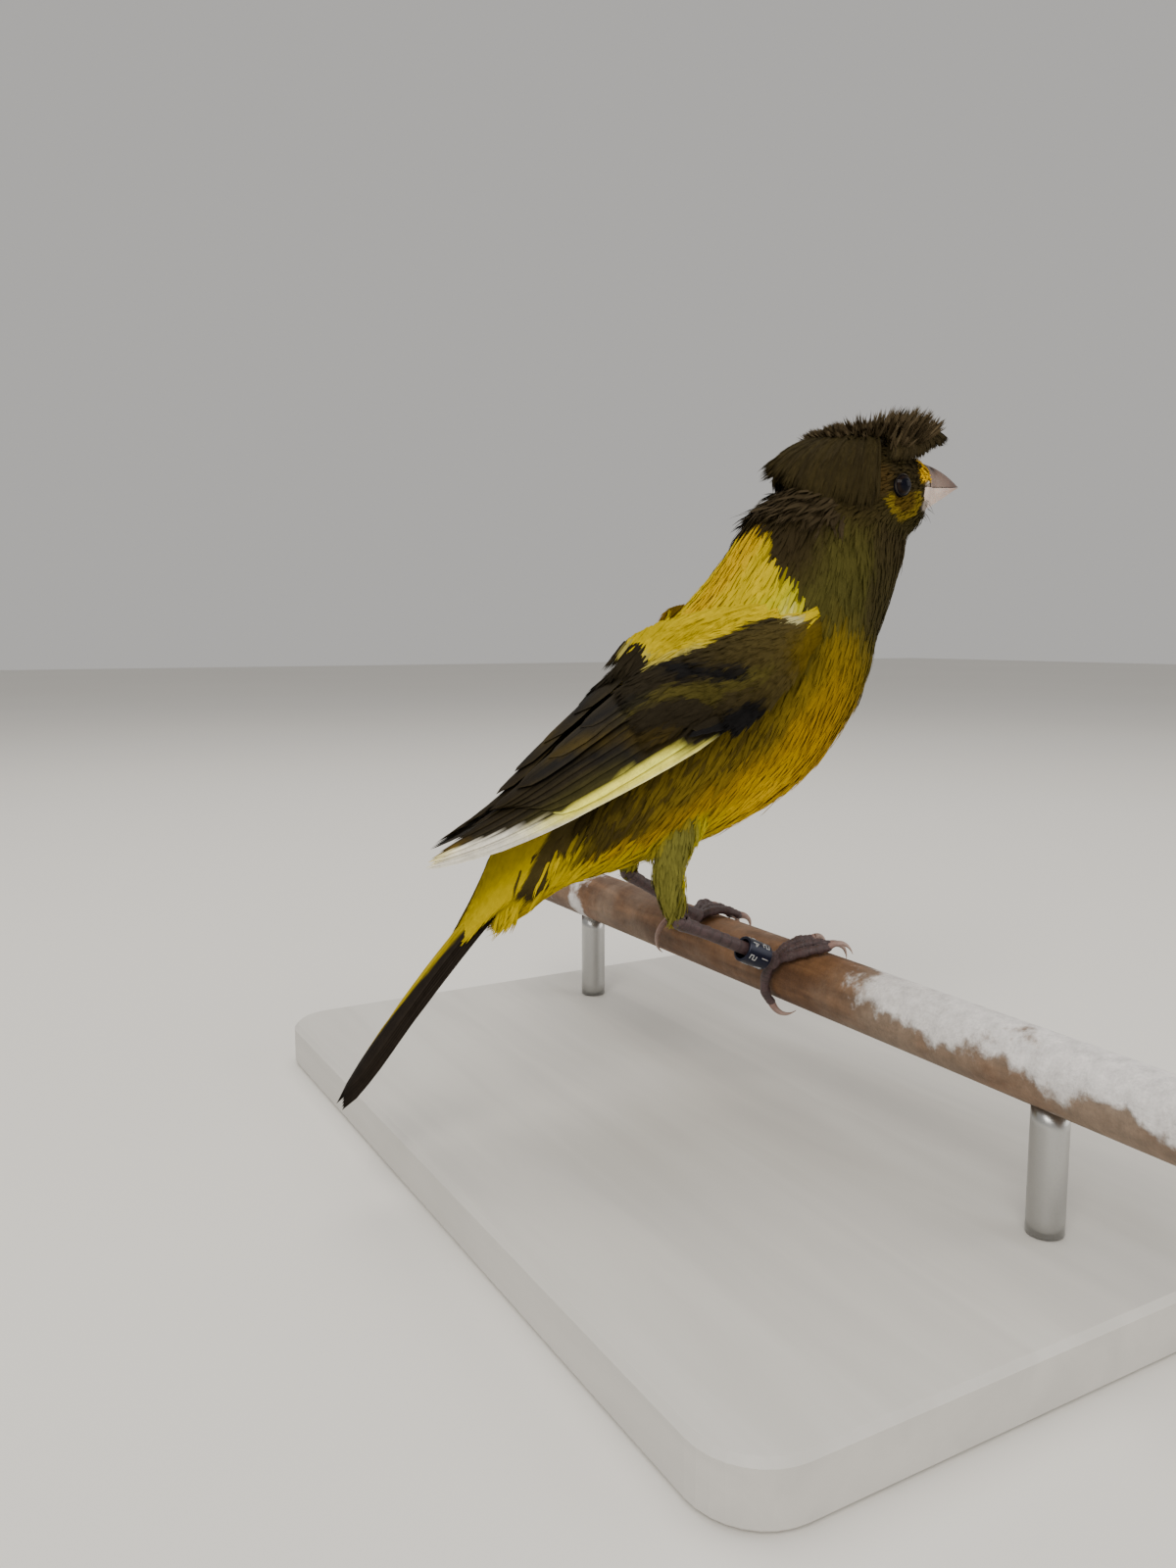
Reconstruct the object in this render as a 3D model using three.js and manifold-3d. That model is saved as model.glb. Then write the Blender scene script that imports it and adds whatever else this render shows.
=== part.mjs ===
// A crested canary as a life-size model, gripping a cut length of round perch on a plain stand.
// Millimetres, +Z up. The bird heads along +X, its left side is +Y.
// The whole model is laid out from the middle of the perch's axis, and moved at the end so that
// the origin is the centre of the stand base's underside.

import * as THREE from 'three';
import { mergeVertices } from 'three/addons/utils/BufferGeometryUtils.js';
import Module from 'manifold-3d';

const wasm = await Module();
wasm.setup();

// Driving dimensions

const GAP = 0.3; // kept between neighbouring solids
const SEED = 20261125;

const PERCH_RADIUS = 5;
const PERCH_HEIGHT = 30; // axis above the floor
const PERCH_NEAR_END = -88; // along Y
const PERCH_FAR_END = 84;
const PERCH_CHAMFER = 0.5;

const BASE_LENGTH = 110; // along X
const BASE_WIDTH = 156; // along Y
const BASE_THICKNESS = 8;
const BASE_CORNER = 8;
const BASE_BEVEL = 0.8;
const BASE_CENTRE = { x: -8, y: -2 }; // from the middle of the perch
const ROD_RADIUS = 2.5;
const ROD_PLACES = { near: -62, far: 58 }; // along Y

// Flesh of the trunk, from the tail root to the inside of the head. Each station is a centre on the
// mid-plane, the lean of the axis above the horizontal, the half-width and the depths from the
// centre to the back and to the belly.
const TRUNK = [
  { x: -50, z: 15, lean: 48, half: 5.2, back: 3.6, belly: 3.8 },
  { x: -43.5, z: 21.5, lean: 47, half: 7.6, back: 6, belly: 7 },
  { x: -32, z: 28.8, lean: 44, half: 12.4, back: 10.2, belly: 12.2 },
  { x: -20.5, z: 36, lean: 43, half: 15.6, back: 13.2, belly: 16.6 },
  { x: -9, z: 44.5, lean: 47, half: 17.2, back: 15.4, belly: 19.6 },
  { x: 0.5, z: 54, lean: 53, half: 16.4, back: 15, belly: 19.2 },
  { x: 6.5, z: 63, lean: 62, half: 14, back: 14, belly: 17.6 },
  { x: 11, z: 71.5, lean: 70, half: 11.6, back: 13, belly: 18 },
  { x: 14.5, z: 80, lean: 80, half: 8.8, back: 8, belly: 17 },
];
const TRUNK_SIDES = 24;
const TRUNK_STEPS = 16;

// The head along its own axis, from the nape to the root of the bill.
const HEAD_YAW = -4; // degrees, towards the bird's right
const HEAD_PIVOT = { x: 16, z: 81 };
const HEAD = [
  { x: 5.6, z: 80.5, half: 1.6, up: 1.4, down: 1.8 },
  { x: 7.6, z: 80.8, half: 5.6, up: 5, down: 6.2 },
  { x: 12, z: 81, half: 8, up: 8, down: 9.2 },
  { x: 17, z: 81.2, half: 8.8, up: 9.3, down: 10 },
  { x: 22, z: 81.4, half: 8.6, up: 8.9, down: 9.8 },
  { x: 27, z: 81.4, half: 7.3, up: 7.2, down: 9 },
  { x: 31, z: 81.6, half: 5.5, up: 5.4, down: 7.2 },
  { x: 34, z: 81.8, half: 4.1, up: 4.2, down: 5.2 },
];
const HEAD_SIDES = 20;
const HEAD_STEPS = 10;

// Cuts that part the flesh, each through a point of the mid-plane with the lean of its normal.
const CUT_RUMP = { x: -32, z: 28.8, lean: 44 };
const CUT_NECK = { x: 4, z: 59, lean: 57 };
const CUT_HEAD = { x: 14, z: 74.6, lean: 86 };

const EYE = { x: 22.6, y: 7.3, z: 81.2, radius: 2.15, lid: 1.95, lidThickness: 0.4 };

const BILL_ROOT = { x: 32.2, z: 81.6 };
const BILL_TIP = { x: 42, z: 83 };
const BILL_HALF_WIDTH = 3.8;
const BILL_UP = 4.3;
const BILL_DOWN = 4.3;
const BILL_DROOP = 0.7; // how far its tip bends down
const GAPE = { x: 30.6, z: 81.3 };
const NOSTRIL = { ahead: 1.5, side: 2.5, up: 2.7, radius: 0.5 }; // from the root

// Crest
const CREST_CENTRE = { x: 22.5, z: 89.4 };
const CREST_CORE = { back: 2, down: 2.2, x: 8.6, y: 5.4, z: 2.9 };
const CREST_SKEW = 1.2; // how much higher the left side stands
// Tiers of locks, from the lowest to the highest. The lists go round one side from the front, past
// the brow and the side, to the back: how far out a lock reaches, how high it rises before it
// bends, and how far its tip lies below the centre. The last tier leaves a parting on the right.
const CREST_TIERS = [
  { count: 17, halfWidth: 3, reach: [13, 10.5, 9, 14.8, 21.5], lift: [3.6, 4.6, 6.8, 10.4, 3],
    drop: [0.4, 0.8, 2.2, 10.6, 6.4] },
  { count: 10, halfWidth: 2.9, reach: [14.4, 10.5, 8.8, 12.6, 16.5], lift: [4.6, 6.2, 7.4, 8.4, 3.4],
    drop: [-2.4, -2, 0.8, 6, 3] },
  { count: 8, halfWidth: 2.2, reach: [11.5, 9, 6.4, 7.6, 10.5], lift: [6, 7.4, 8, 6.4, 4.2],
    drop: [-4.8, -5.4, -3, 0.4, 0], parting: 0.5 },
];

// The folded right wing: its upper edge on the back and its lower edge on the flank, from the
// shoulder to the tip, and how far the surface between them bulges outwards.
const WING_UPPER = [
  [-1.9, -13, 58.9], [-15.4, -10, 56], [-24.4, -2.4, 51], [-38, -1, 41],
  [-51.3, -0.8, 31], [-61.4, -2.4, 25.1],
];
const WING_LOWER = [
  [-3.9, -17, 53.4], [-13.4, -18.6, 45], [-24.5, -17.6, 38.2], [-38.5, -14, 31.5],
  [-52, -9.5, 26], [-63.4, -5.2, 23.3],
];
const WING_BULGE = [1.2, 2.6, 3.4, 2.6, 1.4, 0.4];
const WING_RUN = 70; // how fast a feather that passes the wing's end runs on
// The left wing is held a little further forward and lower than a mirrored right one.
const LEFT_WING_SHIFT = { x: 3.4, z: 1.8 };
const LEFT_WING_DROP = 4.8; // degrees about the line of the back

const TAIL_ROOT = { x: -39, z: 27.4 };
const TAIL_TIP = { x: -75.6, z: -11.7 };
const TAIL_HALF_WIDTH = 3.9;
const TAIL_FEATHER_HALF = 1.9;

const TARSUS_RADIUS = 1.05;
const TOE_RADIUS = 0.92;
const LEGS = {
  right: {
    knee: [-20, -9.2, 30], shin: [-24.2, -10, 20.5], heel: [-23, -10.2, 11.4],
    pad: { angle: 150, y: -11.5 },
    toes: {
      hind: { angle: 232, y: -9.2, clawAngle: 268, clawY: -11 },
      inner: { angle: 74, y: -12.4, clawAngle: 44, clawY: -12.4 },
      middle: { angle: 66, y: -15.8, clawAngle: 30, clawY: -16.6 },
      outer: { angle: 88, y: -18.4, clawAngle: 52, clawY: -19.8 },
    },
  },
  left: {
    knee: [-17, 9.6, 31], shin: [-20.4, 11.4, 23], heel: [-18.6, 12.4, 14.6],
    pad: { angle: 127, y: 13.2 },
    toes: {
      hind: { angle: 153, y: 20.4, clawAngle: 216, clawY: 22.6 },
      inner: { angle: 50, y: 10.6, clawAngle: 18, clawY: 10.2 },
      middle: { angle: 40, y: 14.4, clawAngle: 6, clawY: 14.8 },
      outer: { angle: 56, y: 18.6, clawAngle: 24, clawY: 20 },
    },
  },
};
// The ring's place is its share of the way down the tarsus.
const RING = { outer: 2.1, inner: 1.65, height: 4.6, share: 0.76 };

// Vector and random helpers

const vec = (x, y, z) => new THREE.Vector3(x, y, z);
const rad = THREE.MathUtils.degToRad;
const mix = THREE.MathUtils.lerp;

/** A repeatable stream of numbers from 0 to 1. */
function randomStream(seed) {
  let state = seed >>> 0;
  return () => {
    state = (Math.imul(state, 1664525) + 1013904223) >>> 0;
    return state / 4294967296;
  };
}

/** Reads a value at t between 0 and 1 from evenly spaced samples, through a smooth curve. */
function smooth(samples, t) {
  const curve = new THREE.SplineCurve(samples.map((value, i) => new THREE.Vector2(i, value)));
  return curve.getPoint(THREE.MathUtils.clamp(t, 0, 1)).y;
}

// Solids

/** Makes a manifold from vertices and triangles, turning it inside out where it has to be. */
function solid(vertices, triangles) {
  let volume = 0;
  for (const [a, b, c] of triangles) {
    volume += vertices[a].dot(vec(0, 0, 0).crossVectors(vertices[b], vertices[c]));
  }
  const faces = volume < 0 ? triangles.map(([a, b, c]) => [a, c, b]) : triangles;
  return new wasm.Manifold(new wasm.Mesh({
    numProp: 3,
    vertProperties: Float32Array.from(vertices.flatMap((v) => [v.x, v.y, v.z])),
    triVerts: Uint32Array.from(faces.flat()),
  }));
}

/** Turns a closed three.js geometry into a manifold. */
function solidOf(geometry) {
  const bare = geometry.clone();
  bare.deleteAttribute('normal');
  bare.deleteAttribute('uv');
  const merged = mergeVertices(bare, 1e-4);
  const place = merged.getAttribute('position');
  const vertices = Array.from({ length: place.count }, (_, i) => vec().fromBufferAttribute(place, i));
  const index = Array.from(merged.getIndex().array);
  const triangles = [];
  for (let i = 0; i < index.length; i += 3) {
    const [a, b, c] = index.slice(i, i + 3);
    if (a !== b && b !== c && c !== a) triangles.push([a, b, c]);
  }
  return solid(vertices, triangles);
}

/** Joins a list of solids into one. */
function join(parts) {
  return parts.reduce((whole, part) => whole.add(part));
}

/** Keeps the largest closed body of a solid, and fills what is sealed inside it. */
function largest(shape) {
  const bodies = shape.decompose();
  return bodies.reduce((best, body) => (body.volume() > best.volume() ? body : best));
}

/**
 * Closes a stack of rings with equal counts into a solid, with a flat fan over each end. The
 * flipped function says which columns of its sides are split along the other diagonal.
 */
function loft(rings, flipped = () => false) {
  const count = rings[0].length;
  const vertices = rings.flat();
  const triangles = [];
  for (let r = 0; r + 1 < rings.length; r++) {
    for (let i = 0; i < count; i++) {
      const [a, b] = [r * count + i, r * count + ((i + 1) % count)];
      const [c, d] = [a + count, b + count];
      if (flipped(i)) triangles.push([a, b, c], [b, d, c]);
      else triangles.push([a, b, d], [a, d, c]);
    }
  }
  for (const [first, turned] of [[0, false], [vertices.length - count, true]]) {
    const middle = vertices.length;
    const centre = vec(0, 0, 0);
    for (const point of rings[turned ? rings.length - 1 : 0]) {
      centre.addScaledVector(point, 1 / count);
    }
    vertices.push(centre);
    for (let i = 0; i < count; i++) {
      const [a, b] = [first + i, first + ((i + 1) % count)];
      triangles.push(turned ? [a, b, middle] : [b, a, middle]);
    }
  }
  return solid(vertices, triangles);
}

/** A tube through points with a radius at each, flattened across where depth is under 1. */
function tube(points, radii, sides, depth = 1, normal = vec(0, 0, 1)) {
  let up = normal.clone();
  const rings = points.map((point, i) => {
    const before = points[Math.max(i - 1, 0)];
    const after = points[Math.min(i + 1, points.length - 1)];
    const along = after.clone().sub(before).normalize();
    up = up.clone().addScaledVector(along, -up.dot(along)).normalize();
    const side = vec(0, 0, 0).crossVectors(along, up);
    return Array.from({ length: sides }, (_, k) => {
      const angle = ((k + 0.5) / sides) * 2 * Math.PI;
      return point.clone()
        .addScaledVector(side, radii[i] * Math.cos(angle))
        .addScaledVector(up, radii[i] * depth * Math.sin(angle));
    });
  });
  return loft(rings);
}

/** An ellipsoid with the given centre and half-axes. */
function ball(centre, radii, around = 20, over = 12) {
  const geometry = new THREE.SphereGeometry(1, around, over);
  geometry.scale(radii.x, radii.y, radii.z);
  geometry.translate(centre.x, centre.y, centre.z);
  return solidOf(geometry);
}

/** The half of space on the side that a normal in the mid-plane points to, as a large block. */
function halfSpace({ x, z, lean }, side, inset) {
  const size = 300;
  const block = new THREE.BoxGeometry(size, size, size);
  block.translate((size / 2 + inset) * side, 0, 0);
  block.rotateY(-rad(lean));
  block.translate(x, 0, z);
  return solidOf(block);
}

/**
 * A feather blade of even thickness. The frame function gives, at a share of its length, the point
 * on the shaft, the direction across and the direction out of the surface. Tip and root are shares
 * of the full width. Both faces are split alike.
 */
function vane({ frame, halfWidth, thickness = 0.7, tip = 0.25, root = 0.6,
  shares = [0, 0.4, 0.8, 1] }) {
  const rings = shares.map((share) => {
    const { point, across, out } = frame(share);
    const round = Math.sqrt(Math.max(0, 1 - Math.max(0, (share - 0.62) / 0.38) ** 2));
    const width = halfWidth * Math.max(tip, mix(root, 1, Math.min(1, share / 0.35)) * round);
    const place = (w, h) => point.clone().addScaledVector(across, w).addScaledVector(out, h);
    const mid = thickness / 2;
    return [place(-width, mid), place(width, mid), place(width, -mid), place(-width, -mid)];
  });
  return loft(rings, (i) => i === 2);
}

// Trunk, neck and head

/** The trunk's section at t from 0 at the tail root to 1 in the head, grown by a margin. */
function trunkSection(t, grow) {
  const read = (key) => smooth(TRUNK.map((station) => station[key]), t);
  const lean = rad(read('lean'));
  const centre = vec(read('x'), 0, read('z'));
  const up = vec(-Math.sin(lean), 0, Math.cos(lean));
  return Array.from({ length: TRUNK_SIDES }, (_, k) => {
    const angle = (k / TRUNK_SIDES) * 2 * Math.PI;
    const depth = (Math.sin(angle) > 0 ? read('back') : read('belly')) + grow;
    return centre.clone()
      .addScaledVector(vec(0, 1, 0), (read('half') + grow) * Math.cos(angle))
      .addScaledVector(up, depth * Math.sin(angle));
  });
}

function trunk(grow = 0) {
  const steps = Array.from({ length: TRUNK_STEPS + 1 }, (_, i) => i / TRUNK_STEPS);
  return loft(steps.map((t) => trunkSection(t, grow)));
}

/** Turns a solid about the upright axis through the head's pivot. */
function turnHead(shape) {
  return shape.translate([-HEAD_PIVOT.x, 0, 0])
    .rotate([0, 0, HEAD_YAW])
    .translate([HEAD_PIVOT.x, 0, 0]);
}

function headForm(grow = 0) {
  const rings = Array.from({ length: HEAD_STEPS + 1 }, (_, i) => {
    const t = i / HEAD_STEPS;
    const read = (key) => smooth(HEAD.map((station) => station[key]), t);
    return Array.from({ length: HEAD_SIDES }, (_, k) => {
      const angle = (k / HEAD_SIDES) * 2 * Math.PI;
      const depth = (Math.sin(angle) > 0 ? read('up') : read('down')) + grow;
      return vec(read('x') + (t === 1 ? grow : 0) - (t === 0 ? grow : 0),
        (read('half') + grow) * Math.cos(angle), read('z') + depth * Math.sin(angle));
    });
  });
  return turnHead(loft(rings));
}

/** A point of the straight head, turned to where the head looks. */
function headPoint(x, y, z) {
  const yaw = rad(HEAD_YAW);
  const ahead = x - HEAD_PIVOT.x;
  return vec(HEAD_PIVOT.x + ahead * Math.cos(yaw) - y * Math.sin(yaw),
    ahead * Math.sin(yaw) + y * Math.cos(yaw), z);
}

function eyeBall(side, grow = 0) {
  const centre = headPoint(EYE.x, side * EYE.y, EYE.z);
  const r = EYE.radius + grow;
  return ball(centre, { x: r, y: r, z: r }, 12, 8);
}

/** The raised rim of lids round an eye. */
function lids(side) {
  const ring = new THREE.TorusGeometry(EYE.lid, EYE.lidThickness, 4, 14);
  ring.rotateX(Math.PI / 2);
  ring.rotateZ(side * -rad(12));
  const centre = headPoint(EYE.x, side * (EYE.y + 0.9), EYE.z);
  ring.translate(centre.x, centre.y, centre.z);
  return solidOf(ring);
}

/** The whole bill as one cone, bent down towards the tip. */
function billForm() {
  const steps = 8;
  const sides = 16;
  const rings = Array.from({ length: steps + 1 }, (_, i) => {
    const t = i / steps;
    const taper = 1 - t ** 1.35;
    const x = mix(BILL_ROOT.x, BILL_TIP.x, t);
    const z = mix(BILL_ROOT.z, BILL_TIP.z, t) - BILL_DROOP * t ** 3;
    return Array.from({ length: sides }, (_, k) => {
      const angle = (k / sides) * 2 * Math.PI;
      const depth = Math.sin(angle) > 0 ? BILL_UP : BILL_DOWN;
      return vec(x, Math.max(0.08, BILL_HALF_WIDTH * taper) * Math.cos(angle),
        z + Math.max(0.08, depth * taper) * Math.sin(angle));
    });
  });
  return turnHead(loft(rings));
}

/** Parts the bill along the mouth line, and opens the nostrils in its upper half. */
function billHalves() {
  const whole = billForm();
  const rise = Math.atan2(BILL_TIP.z - BILL_DROOP - GAPE.z, BILL_TIP.x - GAPE.x);
  const mouth = { x: GAPE.x, z: GAPE.z, lean: THREE.MathUtils.radToDeg(rise) + 90 };
  const nostrils = [-1, 1].map((side) => ball(
    headPoint(BILL_ROOT.x + NOSTRIL.ahead, side * NOSTRIL.side, BILL_ROOT.z + NOSTRIL.up),
    { x: NOSTRIL.radius * 1.3, y: 1, z: NOSTRIL.radius }, 8, 6));
  return {
    upper: whole.intersect(halfSpace(mouth, 1, GAP / 2)).subtract(join(nostrils)),
    lower: whole.intersect(halfSpace(mouth, -1, GAP / 2)),
  };
}

// Crest

/** Reads a list of the crest's measures at an azimuth, 0 to the front, 90 left and 180 back. */
const roundCrest = (list, azimuth) => smooth(list, Math.abs(((azimuth + 180) % 360) - 180) / 180);

/** One bent lock of the crest, which rises from its core and falls to its tip. */
function crestLock(azimuth, reach, lift, drop, halfWidth) {
  const outward = vec(Math.cos(rad(azimuth)), Math.sin(rad(azimuth)), 0);
  const side = vec(-outward.y, outward.x, 0);
  const place = (out, down) => (
    headPoint(CREST_CENTRE.x, 0, CREST_CENTRE.z - down).addScaledVector(outward, out));
  const sunk = 0.5 / Math.hypot(outward.x / CREST_CORE.x, outward.y / CREST_CORE.y);
  const curve = new THREE.QuadraticBezierCurve3(
    place(sunk, 1.2), place(reach * 0.54, 1.5 - lift), place(reach, drop));
  const frame = (t) => ({
    point: curve.getPoint(t), across: side, out: vec(0, 0, 0).crossVectors(side, curve.getTangent(t)),
  });
  return vane({ frame, halfWidth, tip: 0.22, root: 0.4, shares: [0, 0.35, 0.7, 1] });
}

function crest() {
  const random = randomStream(SEED);
  const locks = CREST_TIERS.flatMap((tier, level) => (
    Array.from({ length: tier.count }, (_, i) => {
      const azimuth = ((i + 0.5 * (level % 2) + 0.35 * random()) / tier.count) * 360;
      const skew = CREST_SKEW * Math.sin(rad(azimuth));
      const reach = roundCrest(tier.reach, azimuth) * (0.92 + 0.16 * random());
      const lift = roundCrest(tier.lift, azimuth) + skew;
      const drop = roundCrest(tier.drop, azimuth) - skew + 0.8 * (random() - 0.5);
      const parted = tier.parting && Math.sin(rad(azimuth)) < -tier.parting;
      return parted ? null : crestLock(azimuth, reach, lift, drop, tier.halfWidth);
    }))).filter(Boolean);
  const { back, down, ...size } = CREST_CORE;
  const core = ball(headPoint(CREST_CENTRE.x - back, 0, CREST_CENTRE.z - down), size, 12, 6);
  return largest(join([core, ...locks]).subtract(headForm(GAP)).subtract(trunk(GAP)));
}

// Wings

const wingUpper = new THREE.CatmullRomCurve3(WING_UPPER.map((p) => vec(...p)));
const wingLower = new THREE.CatmullRomCurve3(WING_LOWER.map((p) => vec(...p)));

/** A point of the right wing's surface: u to the tip, v from the upper edge to the lower, h out. */
function wingPoint(u, v, h) {
  const t = THREE.MathUtils.clamp(u, 0, 1);
  const top = wingUpper.getPoint(t);
  const low = wingLower.getPoint(t);
  const along = wingUpper.getTangent(t).add(wingLower.getTangent(t)).normalize();
  const down = low.clone().sub(top);
  const out = vec(0, 0, 0).crossVectors(down, along).normalize();
  if (out.z < 0) out.negate();
  const bulge = smooth(WING_BULGE, t) * Math.max(0, 4 * v * (1 - v));
  return top.addScaledVector(down, v)
    .addScaledVector(out, bulge + h)
    .addScaledVector(along, (u - t) * WING_RUN);
}

/** A wing feather from (u, v) at its root to (u, v) at its tip, tilted so that rows shingle. */
function wingFeather({ from, to, half, layer, tilt = 0.2 }) {
  const frame = (t) => {
    const u = mix(from[0], to[0], t);
    const v = mix(from[1], to[1], t ** 0.9);
    const height = mix(layer[0], layer[1], t);
    const point = wingPoint(u, v, height);
    const chord = wingPoint(u, 1, 0).distanceTo(wingPoint(u, 0, 0));
    const across = wingPoint(u, v + 0.02, height + tilt * 0.02 * chord).sub(point).normalize();
    const along = wingPoint(u + 0.01, v, height).sub(point).normalize();
    const out = vec(0, 0, 0).crossVectors(across, along).normalize();
    if (out.z < 0) out.negate();
    return { point, across, out };
  };
  return vane({
    frame, halfWidth: half, thickness: 0.65, tip: 0.3, root: 0.7, shares: [0, 0.35, 0.75, 1],
  });
}

/** The wing's arm under its feathers: a rounded slab along the surface, half way to the tip. */
function wingArm() {
  const steps = 6;
  const sides = 8;
  const rings = Array.from({ length: steps + 1 }, (_, i) => {
    const t = i / steps;
    const swell = Math.sin(Math.PI * mix(0.16, 0.93, t)) ** 0.5;
    return Array.from({ length: sides }, (_, k) => {
      const angle = (k / sides) * 2 * Math.PI;
      const v = 0.5 + 0.46 * swell * Math.cos(angle);
      return wingPoint(mix(0.015, 0.5, t), v, -1.2 + 2.2 * swell * Math.sin(angle));
    });
  });
  return loft(rings);
}

/** A row of feathers in one wing, from the upper edge down, by the share of the row from 0 to 1. */
const row = (count, feather) => (
  Array.from({ length: count }, (_, i) => wingFeather(feather(i / (count - 1)))));

function flightFeathers() {
  return [
    ...row(3, (share) => ({
      from: [0.26, 0.2 + 0.2 * share], to: [0.56 + 0.18 * share, 0.16 + 0.12 * share],
      half: 3.2 - 0.4 * share, layer: [0.4, 0.75 - 0.24 * share],
    })),
    ...row(4, (share) => ({
      from: [0.26, 0.4 + 0.36 * share], to: [0.79 - 0.06 * share, 0.24 + 0.5 * share],
      half: 2.8, layer: [0.1, 0.25 - 0.5 * share], tilt: 0.28,
    })),
    ...row(5, (share) => ({
      from: [0.2, 0.68 + 0.26 * share],
      to: [0.84 + 0.16 * Math.sin(0.6 * Math.PI * share), 0.2 + 0.66 * share],
      half: 2.2, layer: [-0.2, -0.3 - 0.3 * share], tilt: 0.3,
    })),
  ];
}

function wingCoverts() {
  return [
    ...row(5, (share) => ({
      from: [0.13, 0.16 + 0.75 * share], to: [0.44 - 0.08 * share, 0.12 + 0.75 * share],
      half: 2.8, layer: [0.4, 1.2],
    })),
    ...row(4, (share) => ({
      from: [0.06, 0.2 + 0.64 * share], to: [0.29 - 0.06 * share, 0.15 + 0.64 * share],
      half: 2.9, layer: [0.6, 1.6],
    })),
    ...row(2, (share) => ({
      from: [0.1, 0.9], to: [0.25 + 0.05 * share, 0.96 - 0.05 * share],
      half: 1.5, layer: [0.3, 0.9 - 0.2 * share],
    })),
  ];
}

/** Both wings, clear of the trunk by the gap. */
function wings() {
  const right = join([wingArm(), ...flightFeathers(), ...wingCoverts()]);
  const ridge = [0, 0, -WING_UPPER[2][2]];
  const left = right.mirror([0, 1, 0]).translate(ridge).rotate([-LEFT_WING_DROP, 0, 0])
    .translate([LEFT_WING_SHIFT.x, 0, LEFT_WING_SHIFT.z - ridge[2]]);
  const body = trunk(GAP);
  return { right: largest(right.subtract(body)), left: largest(left.subtract(body)) };
}

// Tail

const tailAlong = vec(TAIL_TIP.x - TAIL_ROOT.x, 0, TAIL_TIP.z - TAIL_ROOT.z);
const tailLength = tailAlong.length();
tailAlong.normalize();
const tailUp = vec(tailAlong.z, 0, -tailAlong.x);

/** A point of the tail: distance down it, across to the bird's left, and out of its upper face. */
function tailPoint(down, across, up) {
  return vec(TAIL_ROOT.x, across, TAIL_ROOT.z)
    .addScaledVector(tailAlong, down)
    .addScaledVector(tailUp, up);
}

/** One tail feather. Rank 0 is a middle one, and 5 the outermost. */
function tailFeather(rank, side) {
  const spread = (rank + 0.5) / 6;
  const length = tailLength - 3.2 + 3.2 * Math.sqrt(spread);
  const tilt = side * (0.1 + 0.25 * spread);
  const frame = (t) => ({
    point: tailPoint(2 + (length - 2) * t, side * spread * (TAIL_HALF_WIDTH - TAIL_FEATHER_HALF),
      0.6 - 1.3 * spread),
    across: vec(0, Math.cos(tilt), 0).addScaledVector(tailUp, -Math.sin(tilt)),
    out: vec(0, Math.sin(tilt), 0).addScaledVector(tailUp, Math.cos(tilt)),
  });
  return vane({ frame, halfWidth: TAIL_FEATHER_HALF, tip: 0.3, root: 0.5, shares: [0, 0.4, 0.8, 1] });
}

/** The root of the tail, a flattened bulb that the feathers stand in. */
function tailBulb(grow = 0) {
  const sides = 12;
  const stations = [0, 2, 5, 10, 15];
  const halves = [1.2, 3.2, 4.4, 4.5, 3.4];
  const depths = [0.9, 2, 2.4, 2, 1];
  return loft(stations.map((down, i) => Array.from({ length: sides }, (_, k) => {
    const angle = (k / sides) * 2 * Math.PI;
    const reach = down + (i === 0 ? -grow : 0) + (i === stations.length - 1 ? grow : 0);
    return tailPoint(reach, (halves[i] + grow) * Math.cos(angle),
      -0.3 + (depths[i] + grow) * Math.sin(angle));
  })));
}

/** A smooth envelope of the tail feathers, which the coverts stay clear of. */
function tailEnvelope(grow) {
  const stations = [-1, 20, 56];
  return loft(stations.map((down) => [[-1, 1], [1, 1], [1, -1], [-1, -1]].map(([a, b]) => tailPoint(
    down, a * (TAIL_HALF_WIDTH + 0.5 + grow), b > 0 ? 1.4 + grow : -2.9 - grow))));
}

function tail() {
  const feathers = [1, -1].flatMap((side) => (
    Array.from({ length: 6 }, (_, rank) => tailFeather(rank, side))));
  return largest(join([tailBulb(), ...feathers]));
}

/** Upper and under tail coverts, growing from the rump over the tail's root. */
function tailCoverts() {
  const rows = [
    { face: 1, count: 3, from: 5, to: 27, height: 4.2, rest: 1.9, half: 2.8 },
    { face: 1, count: 3, from: 3, to: 19, height: 5.4, rest: 3.2, half: 2.6 },
    { face: -1, count: 3, from: 5, to: 23, height: 5.4, rest: 3.2, half: 2.6 },
    { face: -1, count: 2, from: 3, to: 16, height: 7, rest: 5.2, half: 2.4 },
  ];
  return rows.flatMap(({ face, count, from, to, height, rest, half }) => (
    Array.from({ length: count }, (_, i) => {
      const place = (i / (count - 1)) * 2 - 1;
      const end = to - 3 * place * place;
      return vane({
        frame: (t) => ({
          point: tailPoint(mix(from, end, t), place * mix(5.4, 3.4, t),
            face * (mix(height, rest, t ** 0.8) - 1.2 * place * place)),
          across: vec(0, 1, 0).addScaledVector(tailUp, -face * 0.35 * place).normalize(),
          out: tailUp.clone().multiplyScalar(face).add(vec(0, 0.35 * place, 0)).normalize(),
        }),
        halfWidth: half, thickness: 0.9, tip: 0.3,
      });
    })));
}

// Legs

/** A point on the perch's surface: the angle from the heading round its axis, and a lift off it. */
function gripPoint(angle, y, lift) {
  const r = PERCH_RADIUS + GAP + lift;
  return vec(r * Math.cos(rad(angle)), y, r * Math.sin(rad(angle)));
}

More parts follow.
